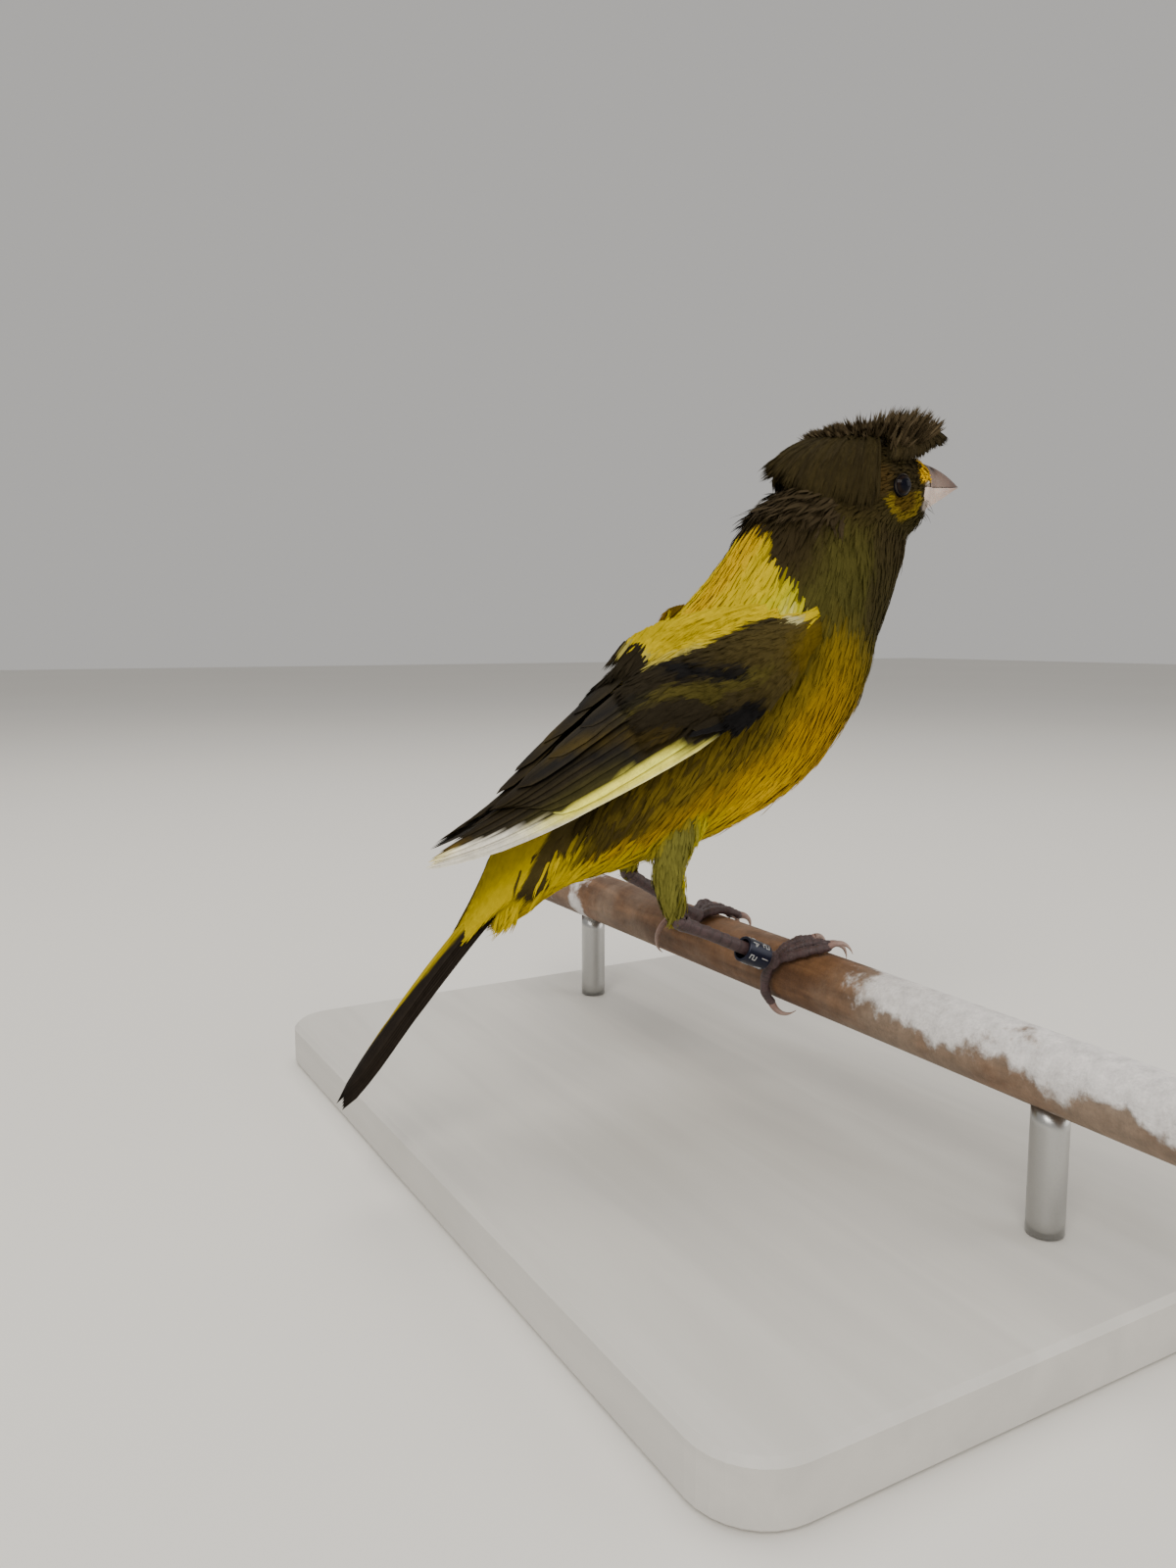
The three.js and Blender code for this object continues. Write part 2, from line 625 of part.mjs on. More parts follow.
/** The feathered shin, from inside the belly to just above the heel. */
function thigh({ knee, shin, heel }) {
  const bottom = heel[2] + 0.9;
  const curve = new THREE.CatmullRomCurve3([vec(...knee), vec(...shin), vec(heel[0], heel[1], bottom)]);
  const radii = [4.4, 4.3, 3.8, 3.4, 3.2, 3, 2.6, 1.9];
  const points = radii.map((_, i) => curve.getPoint(i / (radii.length - 1)));
  return largest(tube(points, radii, 12, 0.86, vec(0, 1, 0)).subtract(trunk(GAP))
    .intersect(halfSpace({ x: heel[0], z: bottom, lean: 90 }, 1, 0)));
}

/** The tarsus with its scutes, the four toes and the pad between them, as one body. */
function foot({ heel, pad, toes }) {
  const top = heel[2] + 0.9 - GAP;
  const joint = vec(...heel);
  const base = gripPoint(pad.angle, pad.y, TOE_RADIUS);
  const rings = 10;
  const shaft = Array.from({ length: rings }, (_, i) => joint.clone().lerp(base, i / (rings - 1)));
  const girths = shaft.map((_, i) => TARSUS_RADIUS * (i % 2 ? 0.9 : 1.06) * (i < 2 ? 1.12 : 1));
  const pieces = [
    tube([vec(heel[0], heel[1], top), joint], [1.3, 1.35], 8),
    ball(joint, { x: 1.5, y: 1.4, z: 1.4 }, 8, 6),
    tube(shaft, girths, 6, 1.1, vec(0, 1, 0)),
    ball(base, { x: 1.7, y: 1.6, z: 1.5 }, 8, 6).subtract(perchForm(GAP)),
    ...Object.values(toes).map((toe) => toeTube(pad, toe)),
  ];
  return largest(join(pieces).intersect(halfSpace({ x: heel[0], z: top, lean: 90 }, -1, 0)));
}

function toeTube(pad, toe) {
  const joints = 6;
  const points = Array.from({ length: joints }, (_, i) => {
    const t = i / (joints - 1);
    const y = mix(pad.y, toe.y, Math.sin((t * Math.PI) / 2));
    return gripPoint(mix(pad.angle, toe.angle, t), y, TOE_RADIUS * mix(1.06, 1, t));
  });
  const radii = points.map((_, i) => TOE_RADIUS * (i % 2 ? 0.88 : 1) * mix(1, 0.84, i / (joints - 1)));
  return tube(points, radii, 6, 1, vec(1, 0, 0.2));
}

/** A claw that carries its toe's line on round the perch and stands a little off it. */
function claw(toe) {
  const steps = 5;
  const turn = Math.sign(toe.clawAngle - toe.angle);
  const start = toe.angle + turn * (GAP / PERCH_RADIUS) * 50;
  const points = Array.from({ length: steps }, (_, i) => {
    const t = i / (steps - 1);
    const lift = TOE_RADIUS * mix(1, 0.3, t ** 2) + 1.1 * Math.sin(Math.PI * t * 0.8);
    return gripPoint(mix(start, toe.clawAngle, t), mix(toe.y, toe.clawY, t), lift);
  });
  const radii = points.map((_, i) => mix(0.66, 0.12, (i / (steps - 1)) ** 1.2));
  return tube(points, radii, 6, 1.1, vec(1, 0, 0.2));
}

/** The closed ring round the right tarsus, hanging on it near the foot. */
function legRing({ heel, pad }) {
  const { outer, inner, height, share } = RING;
  const [low, high] = [-height / 2, height / 2];
  const profile = [[inner, low], [outer, low], [outer, high], [inner, high], [inner, low]];
  const geometry = new THREE.LatheGeometry(profile.map(([r, h]) => new THREE.Vector2(r, h)), 20);
  const start = vec(...heel);
  const end = gripPoint(pad.angle, pad.y, TOE_RADIUS);
  const along = end.clone().sub(start).normalize();
  geometry.applyQuaternion(new THREE.Quaternion().setFromUnitVectors(vec(0, 1, 0), along));
  const middle = start.clone().lerp(end, share);
  middle.z -= inner - TARSUS_RADIUS * 1.1 - GAP;
  geometry.translate(middle.x, middle.y, middle.z);
  return solidOf(geometry);
}

// Perch and stand

function perchForm(grow = 0) {
  const half = (PERCH_FAR_END - PERCH_NEAR_END) / 2;
  const r = PERCH_RADIUS + grow;
  const c = PERCH_CHAMFER;
  const outline = [[0, -half], [r - c, -half], [r, -half + c], [r, half - c], [r - c, half], [0, half]];
  const geometry = new THREE.LatheGeometry(outline.map(([x, y]) => new THREE.Vector2(x, y)), 24);
  geometry.translate(0, (PERCH_FAR_END + PERCH_NEAR_END) / 2, 0);
  return solidOf(geometry);
}

function standBase() {
  const [a, b, r] = [BASE_LENGTH / 2 - BASE_BEVEL, BASE_WIDTH / 2 - BASE_BEVEL, BASE_CORNER];
  const outline = new THREE.Shape();
  outline.moveTo(-a + r, -b);
  outline.absarc(a - r, -b + r, r, -Math.PI / 2, 0);
  outline.absarc(a - r, b - r, r, 0, Math.PI / 2);
  outline.absarc(-a + r, b - r, r, Math.PI / 2, Math.PI);
  outline.absarc(-a + r, -b + r, r, Math.PI, Math.PI * 1.5);
  const geometry = new THREE.ExtrudeGeometry(outline, {
    depth: BASE_THICKNESS - 2 * BASE_BEVEL, bevelThickness: BASE_BEVEL, bevelSize: BASE_BEVEL,
    bevelSegments: 1, curveSegments: 4,
  });
  geometry.translate(BASE_CENTRE.x, BASE_CENTRE.y, BASE_BEVEL - PERCH_HEIGHT);
  return solidOf(geometry);
}

/** A rod from the base's top up to the perch, with a saddle cut for it. */
function standRod(y) {
  const bottom = BASE_THICKNESS + GAP - PERCH_HEIGHT;
  const top = -PERCH_RADIUS * 0.55;
  const geometry = new THREE.CylinderGeometry(ROD_RADIUS, ROD_RADIUS, top - bottom, 20);
  geometry.rotateX(Math.PI / 2);
  geometry.translate(0, y, (top + bottom) / 2);
  return solidOf(geometry).subtract(perchForm(GAP));
}

// Assembly

const finish = (color, roughness = 0.8, metalness = 0) => (
  () => new THREE.MeshStandardMaterial({ color, roughness, metalness }));
const FINISHES = {
  yellow: finish(0xc9a216),
  olive: finish(0x5d5620),
  brownOlive: finish(0x3b3119),
  dark: finish(0x2b2416),
  billUpper: finish(0x8d7a70, 0.45),
  billLower: finish(0xc9b8b0, 0.45),
  eye: finish(0x08080a, 0.08),
  scaly: finish(0x54403c, 0.6),
  claw: finish(0xc7a79c, 0.4),
  ring: finish(0x15151b, 0.3, 0.7),
  wood: finish(0x8a6a4a, 0.75),
  base: finish(0xd9d6d0, 0.6),
  steel: finish(0xa8a8a6, 0.3, 1),
};

/** A named mesh from a solid, in one of the finishes. */
function mesh(name, shape, material) {
  const { vertProperties, triVerts, numProp } = shape.getMesh();
  const place = new Float32Array((vertProperties.length / numProp) * 3);
  for (let i = 0; i < place.length / 3; i++) {
    for (let k = 0; k < 3; k++) place[3 * i + k] = vertProperties[numProp * i + k];
  }
  const geometry = new THREE.BufferGeometry();
  geometry.setAttribute('position', new THREE.BufferAttribute(place, 3));
  geometry.setIndex(new THREE.BufferAttribute(Uint32Array.from(triVerts), 1));
  geometry.computeVertexNormals();
  const piece = new THREE.Mesh(geometry, material());
  piece.name = name;
  return piece;
}

/** The flesh parted by thin cuts into head, neck, torso and rump. */
function fleshNodes() {
  const flesh = trunk();
  const between = (low, high) => {
    let part = flesh;
    if (low) part = part.intersect(halfSpace(low, 1, GAP / 2));
    if (high) part = part.intersect(halfSpace(high, -1, GAP / 2));
    return part;
  };
  const behindBill = halfSpace({ x: BILL_ROOT.x - GAP, z: BILL_ROOT.z, lean: 0 }, -1, 0);
  const upper = flesh.add(headForm()).add(lids(-1)).add(lids(1))
    .subtract(eyeBall(-1, GAP)).subtract(eyeBall(1, GAP));
  const head = upper.intersect(halfSpace(CUT_HEAD, 1, GAP / 2)).intersect(behindBill);
  const neck = flesh.add(headForm()).intersect(halfSpace(CUT_NECK, 1, GAP / 2))
    .intersect(halfSpace(CUT_HEAD, -1, GAP / 2));
  const rump = join([between(null, CUT_RUMP), ...tailCoverts()])
    .intersect(halfSpace(CUT_RUMP, -1, GAP / 2))
    .subtract(tailBulb(GAP)).subtract(tailEnvelope(GAP));
  return [
    mesh('torso', largest(between(CUT_RUMP, CUT_NECK)), FINISHES.yellow),
    mesh('rump', largest(rump), FINISHES.yellow),
    mesh('neck', largest(neck), FINISHES.olive),
    mesh('head', largest(head), FINISHES.brownOlive),
  ];
}

function headNodes() {
  const { upper, lower } = billHalves();
  return [
    mesh('bill_upper', largest(upper), FINISHES.billUpper),
    mesh('bill_lower', largest(lower), FINISHES.billLower),
    mesh('eye_right', eyeBall(-1), FINISHES.eye),
    mesh('eye_left', eyeBall(1), FINISHES.eye),
    mesh('crest', crest(), FINISHES.dark),
  ];
}

function legNodes() {
  return Object.entries(LEGS).flatMap(([side, leg]) => [
    mesh(`thigh_${side}`, thigh(leg), FINISHES.olive),
    mesh(`leg_${side}`, foot(leg), FINISHES.scaly),
    ...Object.entries(leg.toes).map(([toe, place]) => (
      mesh(`claw_${side}_${toe}`, claw(place), FINISHES.claw))),
  ]);
}

function standNodes() {
  return [
    mesh('stand_base', standBase(), FINISHES.base),
    mesh('stand_rod_near', largest(standRod(ROD_PLACES.near)), FINISHES.steel),
    mesh('stand_rod_far', largest(standRod(ROD_PLACES.far)), FINISHES.steel),
    mesh('perch', perchForm(), FINISHES.wood),
  ];
}

const wing = wings();
const fromPerch = new THREE.Group();
fromPerch.position.set(-BASE_CENTRE.x, -BASE_CENTRE.y, PERCH_HEIGHT);
fromPerch.add(
  ...standNodes(),
  ...fleshNodes(),
  ...headNodes(),
  mesh('wing_right', wing.right, FINISHES.dark),
  mesh('wing_left', wing.left, FINISHES.dark),
  mesh('tail', tail(), FINISHES.dark),
  ...legNodes(),
  mesh('leg_ring', legRing(LEGS.right), FINISHES.ring),
);

const canary = new THREE.Group();
canary.add(fromPerch);

export default canary;
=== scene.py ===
"""A crested canary that grips a cut length of perch, dressed over its solid frame.

The sizes in the classes are millimetres from the middle of the perch's axis: X is the way the
bird's body heads, Y its left side along the perch, and Z is up. They are moved into the row frame,
in metres, only when a mesh is made. Colours are linear.
"""

import logging
import math
from dataclasses import dataclass, field
from enum import Enum
from typing import Callable

import bpy
import numpy as np
from mathutils import Matrix, Vector


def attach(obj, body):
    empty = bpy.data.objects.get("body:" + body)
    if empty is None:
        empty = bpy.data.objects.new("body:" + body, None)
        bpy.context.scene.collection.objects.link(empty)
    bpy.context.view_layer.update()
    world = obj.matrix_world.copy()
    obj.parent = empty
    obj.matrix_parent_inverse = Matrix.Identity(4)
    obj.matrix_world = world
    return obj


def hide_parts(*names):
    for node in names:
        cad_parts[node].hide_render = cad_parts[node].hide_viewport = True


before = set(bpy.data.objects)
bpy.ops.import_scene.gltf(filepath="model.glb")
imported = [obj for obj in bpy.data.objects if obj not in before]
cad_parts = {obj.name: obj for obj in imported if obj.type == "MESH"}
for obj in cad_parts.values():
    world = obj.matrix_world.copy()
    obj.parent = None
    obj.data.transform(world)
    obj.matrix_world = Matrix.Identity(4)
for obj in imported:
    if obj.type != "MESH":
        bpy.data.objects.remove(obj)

Array = np.ndarray
Triple = tuple[float, float, float]
Colour = Triple
Socket = bpy.types.NodeSocket
Tree = bpy.types.NodeTree

ORIGIN = np.array([8.0, 2.0, 30.0])  # the middle of the perch's axis in the row frame, mm
PERCH_RADIUS = 5.0
BODY = "root"
BAKE = "OFBake"
LEFTWARD = np.array([0.0, 1.0, 0.0])
UPWARD = np.array([0.0, 0.0, 1.0])
SEED = 7
TURN = 2 * np.pi

log = logging.getLogger("canary")


class Side(Enum):
    """The two sides of the bird, by the sign of Y."""

    RIGHT = -1
    LEFT = 1


class Blade(Enum):
    """A feather's outline: its width at the root, where it starts to taper, and how fast."""

    POINTED = (0.45, 0.6, 1.5)
    ROUNDED = (0.5, 0.76, 2.2)
    NARROW = (0.35, 0.5, 1.3)


# Curves, vectors and noise


def read(samples: Array | tuple, t: Array) -> Array:
    """Reads a smooth curve through evenly spaced samples.

    Args:
        samples: One row for each sample.
        t: Places along the curve, from 0 to 1.

    Returns:
        One row for each place.
    """
    rows = np.asarray(samples, float)
    last = len(rows) - 1
    place = np.clip(np.asarray(t, float), 0, 1) * last
    i = np.minimum(place.astype(int), last - 1)
    w = (place - i)[..., None] if rows.ndim > 1 else place - i
    before, here = rows[np.maximum(i - 1, 0)], rows[i]
    there, after = rows[i + 1], rows[np.minimum(i + 2, last)]
    v0, v1 = (there - before) / 2, (after - here) / 2
    return ((2 * here - 2 * there + v0 + v1) * w ** 3
            + (3 * there - 3 * here - 2 * v0 - v1) * w ** 2 + v0 * w + here)


def unit(v: Array) -> Array:
    """Vectors scaled to length one."""
    return v / np.maximum(np.linalg.norm(v, axis=-1, keepdims=True), 1e-9)


def ramp(low: float, high: float, x: Array) -> Array:
    """A smooth step from 0 at low to 1 at high, which may lie the other way round."""
    t = np.clip((np.asarray(x, float) - low) / (high - low), 0, 1)
    return t * t * (3 - 2 * t)


def mix(a: Array, b: Array, w: Array) -> Array:
    """Blends rows of a and b, or one value of each, by a weight for each row."""
    return a + (b - a) * np.asarray(w)[..., None]


def layered(base: Array, *layers: tuple[Array, Array]) -> Array:
    """Lays colours over a base one after the other, each by a weight for each row."""
    for colour, weight in layers:
        base = mix(base, colour, weight)
    return base


def bell(x: Array, middle: float, width: float) -> Array:
    """A smooth bump of height one."""
    return np.exp(-((x - middle) / width) ** 2)


def upward(v: Array) -> Array:
    """Vectors turned over where they point down."""
    return np.where(v[..., 2:] < 0, -v, v)


def blotches(p: Array, size: float, seed: int) -> Array:
    """Smooth value noise.

    Args:
        p: Points, in mm.
        size: The width of one blotch, in mm.
        seed: Which of the patterns to read.

    Returns:
        A value from 0 to 1 for each point.
    """
    q = p / size + seed * 17.3
    cell = np.floor(q).astype(np.int64)
    f = q - cell
    f = f * f * (3 - 2 * f)
    total = np.zeros(len(p))
    for corner in range(8):
        step = np.array([corner & 1, corner >> 1 & 1, corner >> 2 & 1])
        c = cell + step
        n = (c[:, 0] * 73856093) ^ (c[:, 1] * 19349663) ^ (c[:, 2] * 83492791) ^ (seed * 2654435)
        n = (n ^ (n >> 13)) * 1274126177 & 0x7FFFFFFF
        share = np.prod(np.where(step, f, 1 - f), axis=1)
        total += share * (n % 65536) / 65535
    return total


def place_in_row(p: Array) -> Array:
    """Moves points from the perch's middle in mm to the row frame in metres."""
    return (p + ORIGIN) / 1000


def turned(v: Array, axis: Array, angle: Array) -> Array:
    """Turns vectors about unit axes by angles in radians."""
    c, s = np.cos(angle)[..., None], np.sin(angle)[..., None]
    return v * c + np.cross(axis, v) * s + axis * np.sum(axis * v, -1, keepdims=True) * (1 - c)


# Gathering meshes


@dataclass
class Bundle:
    """The vertices, faces and values of one piece while it is gathered."""

    points: list[Array] = field(default_factory=list)
    faces: list[Array] = field(default_factory=list)
    tones: list[Array] = field(default_factory=list)
    accents: list[Array] = field(default_factory=list)
    vanes: list[Array] = field(default_factory=list)
    bakes: list[Array] = field(default_factory=list)
    normals: list[Array] = field(default_factory=list)
    count: int = 0

    def add(self, points: Array, faces: Array, tone: Array, accent: Array | None = None,
            vane: Array | None = None, bake: Array | None = None, normal: Array | None = None) -> None:
        """Adds vertices and faces.

        Args:
            points: Vertices in mm, one row each.
            faces: Rows of three or four vertex numbers, from 0.
            tone: One colour, or one for each vertex.
            accent: A second colour for each vertex; the tone where there is none.
            vane: Across from -1 to 1 and along from 0 to 1, for each vertex.
            bake: The place on the skin's unwrap, for each vertex.
            normal: The way that light sees each vertex face.
        """
        n = len(points)
        tone = np.broadcast_to(np.asarray(tone, float), (n, 3))
        self.points.append(points)
        self.faces.append(faces + self.count)
        self.tones.append(tone)
        self.accents.append(tone if accent is None else accent)
        self.vanes.append(np.zeros((n, 2)) if vane is None else vane)
        if bake is not None:
            self.bakes.append(bake)
        if normal is not None:
            self.normals.append(normal)
        self.count += n

    def add_closed(self, points: Array, faces: list[Array], tone: Array) -> None:
        """Adds a closed shape whose faces come as quads and as triangles."""
        base = self.count
        self.add(points, faces[0], tone)
        self.faces.append(faces[1] + base)

    def add_tube(self, path: Array, radii: Array, sides: int, normal: Array, tone: Array,
                 shape: Callable | None = None) -> None:
        """Adds a tube with closed ends."""
        rings = tube(path, radii, sides, normal, shape)
        self.add_closed(*capped(rings, len(path), sides), tone)

    def build(self, name: str, material: bpy.types.Material, slot: str,
              smooth: bool = True) -> bpy.types.Object:
        """Makes the object, gives it its finish and lets it ride on the body.

        Args:
            name: The piece's name.
            material: Its finish.
            slot: The name of the material slot that the finish stands for; not used.
            smooth: Whether the faces are shaded smooth.

        Returns:
            The new object.
        """
        mesh = bpy.data.meshes.new(name)
        co = place_in_row(np.concatenate(self.points)).astype(np.float32)
        sizes = np.concatenate([np.full(len(f), f.shape[1]) for f in self.faces])
        corners = np.concatenate([f.ravel() for f in self.faces]).astype(np.int32)
        mesh.vertices.add(len(co))
        mesh.vertices.foreach_set("co", co.ravel())
        mesh.loops.add(len(corners))
        mesh.loops.foreach_set("vertex_index", corners)
        mesh.polygons.add(len(sizes))
        starts = np.concatenate([[0], np.cumsum(sizes)[:-1]]).astype(np.int32)
        mesh.polygons.foreach_set("loop_start", starts)
        mesh.polygons.foreach_set("use_smooth", np.full(len(sizes), smooth))
        mesh.update(calc_edges=True)
        for key, rows in (("tone", self.tones), ("accent", self.accents)):
            values = np.ones((len(co), 4), np.float32)
            values[:, :3] = np.concatenate(rows)
            mesh.attributes.new(key, "FLOAT_COLOR", "POINT").data.foreach_set("color", values.ravel())
        for key, rows in (("Vane", self.vanes), (BAKE, self.bakes)):
            if rows:
                uv = np.concatenate(rows).astype(np.float32)[corners]
                mesh.uv_layers.new(name=key).data.foreach_set("uv", uv.ravel())
        if self.normals:
            mesh.normals_split_custom_set_from_vertices(np.concatenate(self.normals).tolist())
        mesh.materials.append(material)
        piece = bpy.data.objects.new(name, mesh)
        bpy.context.scene.collection.objects.link(piece)
        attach(piece, BODY)
        log.info("%s: %d faces", name, len(sizes))
        return piece


def grid_faces(rows: int, columns: int, closed: bool = False) -> Array:
    """Quads over a grid of vertices, row by row, closed round the columns on request."""
    wide = columns if closed else columns - 1
    r, c = np.meshgrid(np.arange(rows - 1), np.arange(wide), indexing="ij")
    a = (r * columns + c).ravel()
    b = (r * columns + (c + 1) % columns).ravel()
    return np.stack([a, b, b + columns, a + columns], 1)


def tube(path: Array, radii: Array, sides: int, normal: Array, shape: Callable | None = None) -> Array:
    """The rings of a tube along a path.

    Args:
        path: Points of the middle line.
        radii: A radius for each point.
        sides: How many vertices each ring has.
        normal: The direction that the first vertex of each ring keeps to.
        shape: Gives a factor on the radius for the angle round the ring and the share of the length.

    Returns:
        The vertices, ring by ring.
    """
    along = unit(np.gradient(path, axis=0))
    up = unit(normal - along * np.sum(along * normal, -1, keepdims=True))
    side = np.cross(along, up)
    angle = np.linspace(0, TURN, sides, endpoint=False)
    share = np.linspace(0, 1, len(path))
    a, s = np.meshgrid(angle, share)
    r = radii[:, None] * (shape(a, s) if shape else 1.0)
    return (path[:, None] + up[:, None] * (r * np.cos(a))[..., None]
            + side[:, None] * (r * np.sin(a))[..., None]).reshape(-1, 3)


def capped(rings: Array, rows: int, sides: int) -> tuple[Array, list[Array]]:
    """Closes a tube's ends.

    Args:
        rings: The tube's vertices.
        rows: How many rings there are.
        sides: How many vertices each ring has.

    Returns:
        The vertices with the middles of both ends added, and the faces as quads and triangles.
    """
    first, last = rings[:sides].mean(0), rings[-sides:].mean(0)
    points = np.concatenate([rings, [first, last]])
    k = np.arange(sides)
    nxt = (k + 1) % sides
    start = np.stack([nxt, k, np.full(sides, rows * sides)], 1)
    end_ring = (rows - 1) * sides
    end = np.stack([end_ring + k, end_ring + nxt, np.full(sides, rows * sides + 1)], 1)
    return points, [grid_faces(rows, sides, closed=True), np.concatenate([start, end])]


def subdivided(samples: Array | tuple, count: int) -> Array:
    """A smooth curve of a given number of rows through samples."""
    return read(samples, np.linspace(0, 1, count))


# Finishes


class Graph:
    """Writes the nodes of one material or node group."""

    def __init__(self, tree: Tree) -> None:
        """Keeps the tree that the nodes go into."""
        self.tree = tree

    def plug(self, value: object, socket: Socket) -> None:
        """Links a socket to an input, or sets the input to a plain value."""
        if isinstance(value, Socket):
            self.tree.links.new(value, socket)
        else:
            socket.default_value = value

    def add(self, kind: str, inputs: dict | None = None, **settings: object) -> bpy.types.Node:
        """Adds one node.

        Args:
            kind: The node's type name.
            inputs: Values or sockets for its inputs, by name or number.
            settings: Values for its properties.

        Returns:
            The node.
        """
        node = self.tree.nodes.new(kind)
        for key, value in settings.items():
            setattr(node, key, value)
        for key, value in (inputs or {}).items():
            self.plug(value, node.inputs[key])
        return node

    def math(self, operation: str, a: object, b: object = 0.0) -> Socket:
        """The result of one sum on two values."""
        return self.add("ShaderNodeMath", {0: a, 1: b}, operation=operation).outputs[0]

    def plus(self, a: object, b: object) -> Socket:
        """Two values added."""
        return self.math("ADD", a, b)

    def times(self, a: object, b: object) -> Socket:
        """Two values multiplied."""
        return self.math("MULTIPLY", a, b)

    def line(self, value: object, slope: object, start: object) -> Socket:
        """A value times a slope, plus a start."""
        return self.plus(self.times(value, slope), start)

    def noise(self, place: object, scale: object, **inputs: float) -> Socket:
        """Noise from 0 to 1 at a place."""
        return self.add("ShaderNodeTexNoise", {"Vector": place, "Scale": scale, **inputs}).outputs["Fac"]

    def blend(self, weight: object, a: object, b: object, mode: str = "MIX") -> Socket:
        """The result of mixing two colours."""
        node = self.add("ShaderNodeMix", data_type="RGBA", blend_type=mode)
        for number, value in ((0, weight), (6, a), (7, b)):
            self.plug((*value, 1.0) if isinstance(value, tuple) else value, node.inputs[number])
        return node.outputs[2]

    def smooth_step(self, value: object, low: float, high: float) -> Socket:
        """A value eased from 0 at low to 1 at high."""
        return self.add("ShaderNodeMapRange", {"Value": value, "From Min": low, "From Max": high},
                        interpolation_type="SMOOTHSTEP").outputs["Result"]


class Group(Graph):
    """Writes the nodes of one shader node group."""

    def __init__(self, name: str, vector: str, values: dict[str, float], results: tuple[str, ...]) -> None:
        """Starts the group.

        Args:
            name: The group's name.
            vector: The name of its one vector input.
            values: Its plain inputs, with their start values.
            results: The names of its outputs, all plain values.
        """
        super().__init__(bpy.data.node_groups.new(name, "ShaderNodeTree"))
        sockets = self.tree.interface
        sockets.new_socket(vector, in_out="INPUT", socket_type="NodeSocketVector")
        for key, value in values.items():
            socket = sockets.new_socket(key, in_out="INPUT", socket_type="NodeSocketFloat")
            socket.default_value = value
        for key in results:
            sockets.new_socket(key, in_out="OUTPUT", socket_type="NodeSocketFloat")
        self.given = self.add("NodeGroupInput").outputs
        self.result = self.add("NodeGroupOutput").inputs


def mottle_group() -> Tree:
    """Uneven tone and height in two sizes of blotch, as values about 1 and from 0 to 1."""
    g = Group("mottle", "Place", {"Scale": 500.0, "Amount": 0.3}, ("Tone", "Height"))
    place, scale = g.given["Place"], g.given["Scale"]
    coarse = g.noise(place, scale, Detail=4.0, Roughness=0.6)
    fine = g.noise(place, g.times(scale, 5.3), Detail=2.0, Roughness=0.7)
    both = g.line(coarse, 0.65, g.times(fine, 0.35))
    spread = g.times(g.math("SUBTRACT", both, 0.5), g.times(g.given["Amount"], 4.0))
    g.plug(g.plus(spread, 1.0), g.result["Tone"])
    g.plug(both, g.result["Height"])
    return g.tree


def barbs_group() -> Tree:
    """The slanted barbs and the shaft of a feather's vane, from its own coordinates."""
    g = Group("barbs", "Vane", {"Count": 40.0, "Slant": 0.35, "Fray": 0.5}, ("Barb", "Shaft", "Edge"))
    parts = g.add("ShaderNodeSeparateXYZ", {0: g.given["Vane"]}).outputs
    across = g.math("ABSOLUTE", parts["X"])
    uneven = g.noise(g.given["Vane"], 9.0, Detail=3.0)
    swept = g.math("SUBTRACT", parts["Y"], g.times(across, g.given["Slant"]))
    phase = g.line(swept, g.given["Count"], g.times(uneven, 2.5))
    wave = g.math("SINE", g.times(phase, 6.2832))
    g.plug(g.times(g.plus(wave, 1.0), 0.5), g.result["Barb"])
    g.plug(g.smooth_step(across, 0.07, 0.02), g.result["Shaft"])
    frayed = g.times(g.math("SUBTRACT", uneven, 0.5), g.given["Fray"])
    g.plug(g.plus(across, frayed), g.result["Edge"])
    return g.tree


def grain_group() -> Tree:
    """Wood grain drawn out along Y: fine fibres and broad bands."""
    g = Group("grain", "Place", {"Scale": 300.0, "Stretch": 0.06}, ("Fibre", "Band"))
    squeeze = g.add("ShaderNodeCombineXYZ", {0: 1.0, 1: g.given["Stretch"], 2: 1.0}).outputs[0]
    drawn = g.add("ShaderNodeVectorMath", {0: g.given["Place"], 1: squeeze}, operation="MULTIPLY").outputs[0]
    fibre = g.noise(drawn, g.times(g.given["Scale"], 6.0), Detail=4.0, Roughness=0.7)
    g.plug(fibre, g.result["Fibre"])
    g.plug(g.noise(drawn, g.given["Scale"], Detail=5.0, Distortion=0.6), g.result["Band"])
    return g.tree


@dataclass(frozen=True)
class Effects:
    """The node groups that several finishes share."""

    mottle: Tree
    barbs: Tree
    grain: Tree


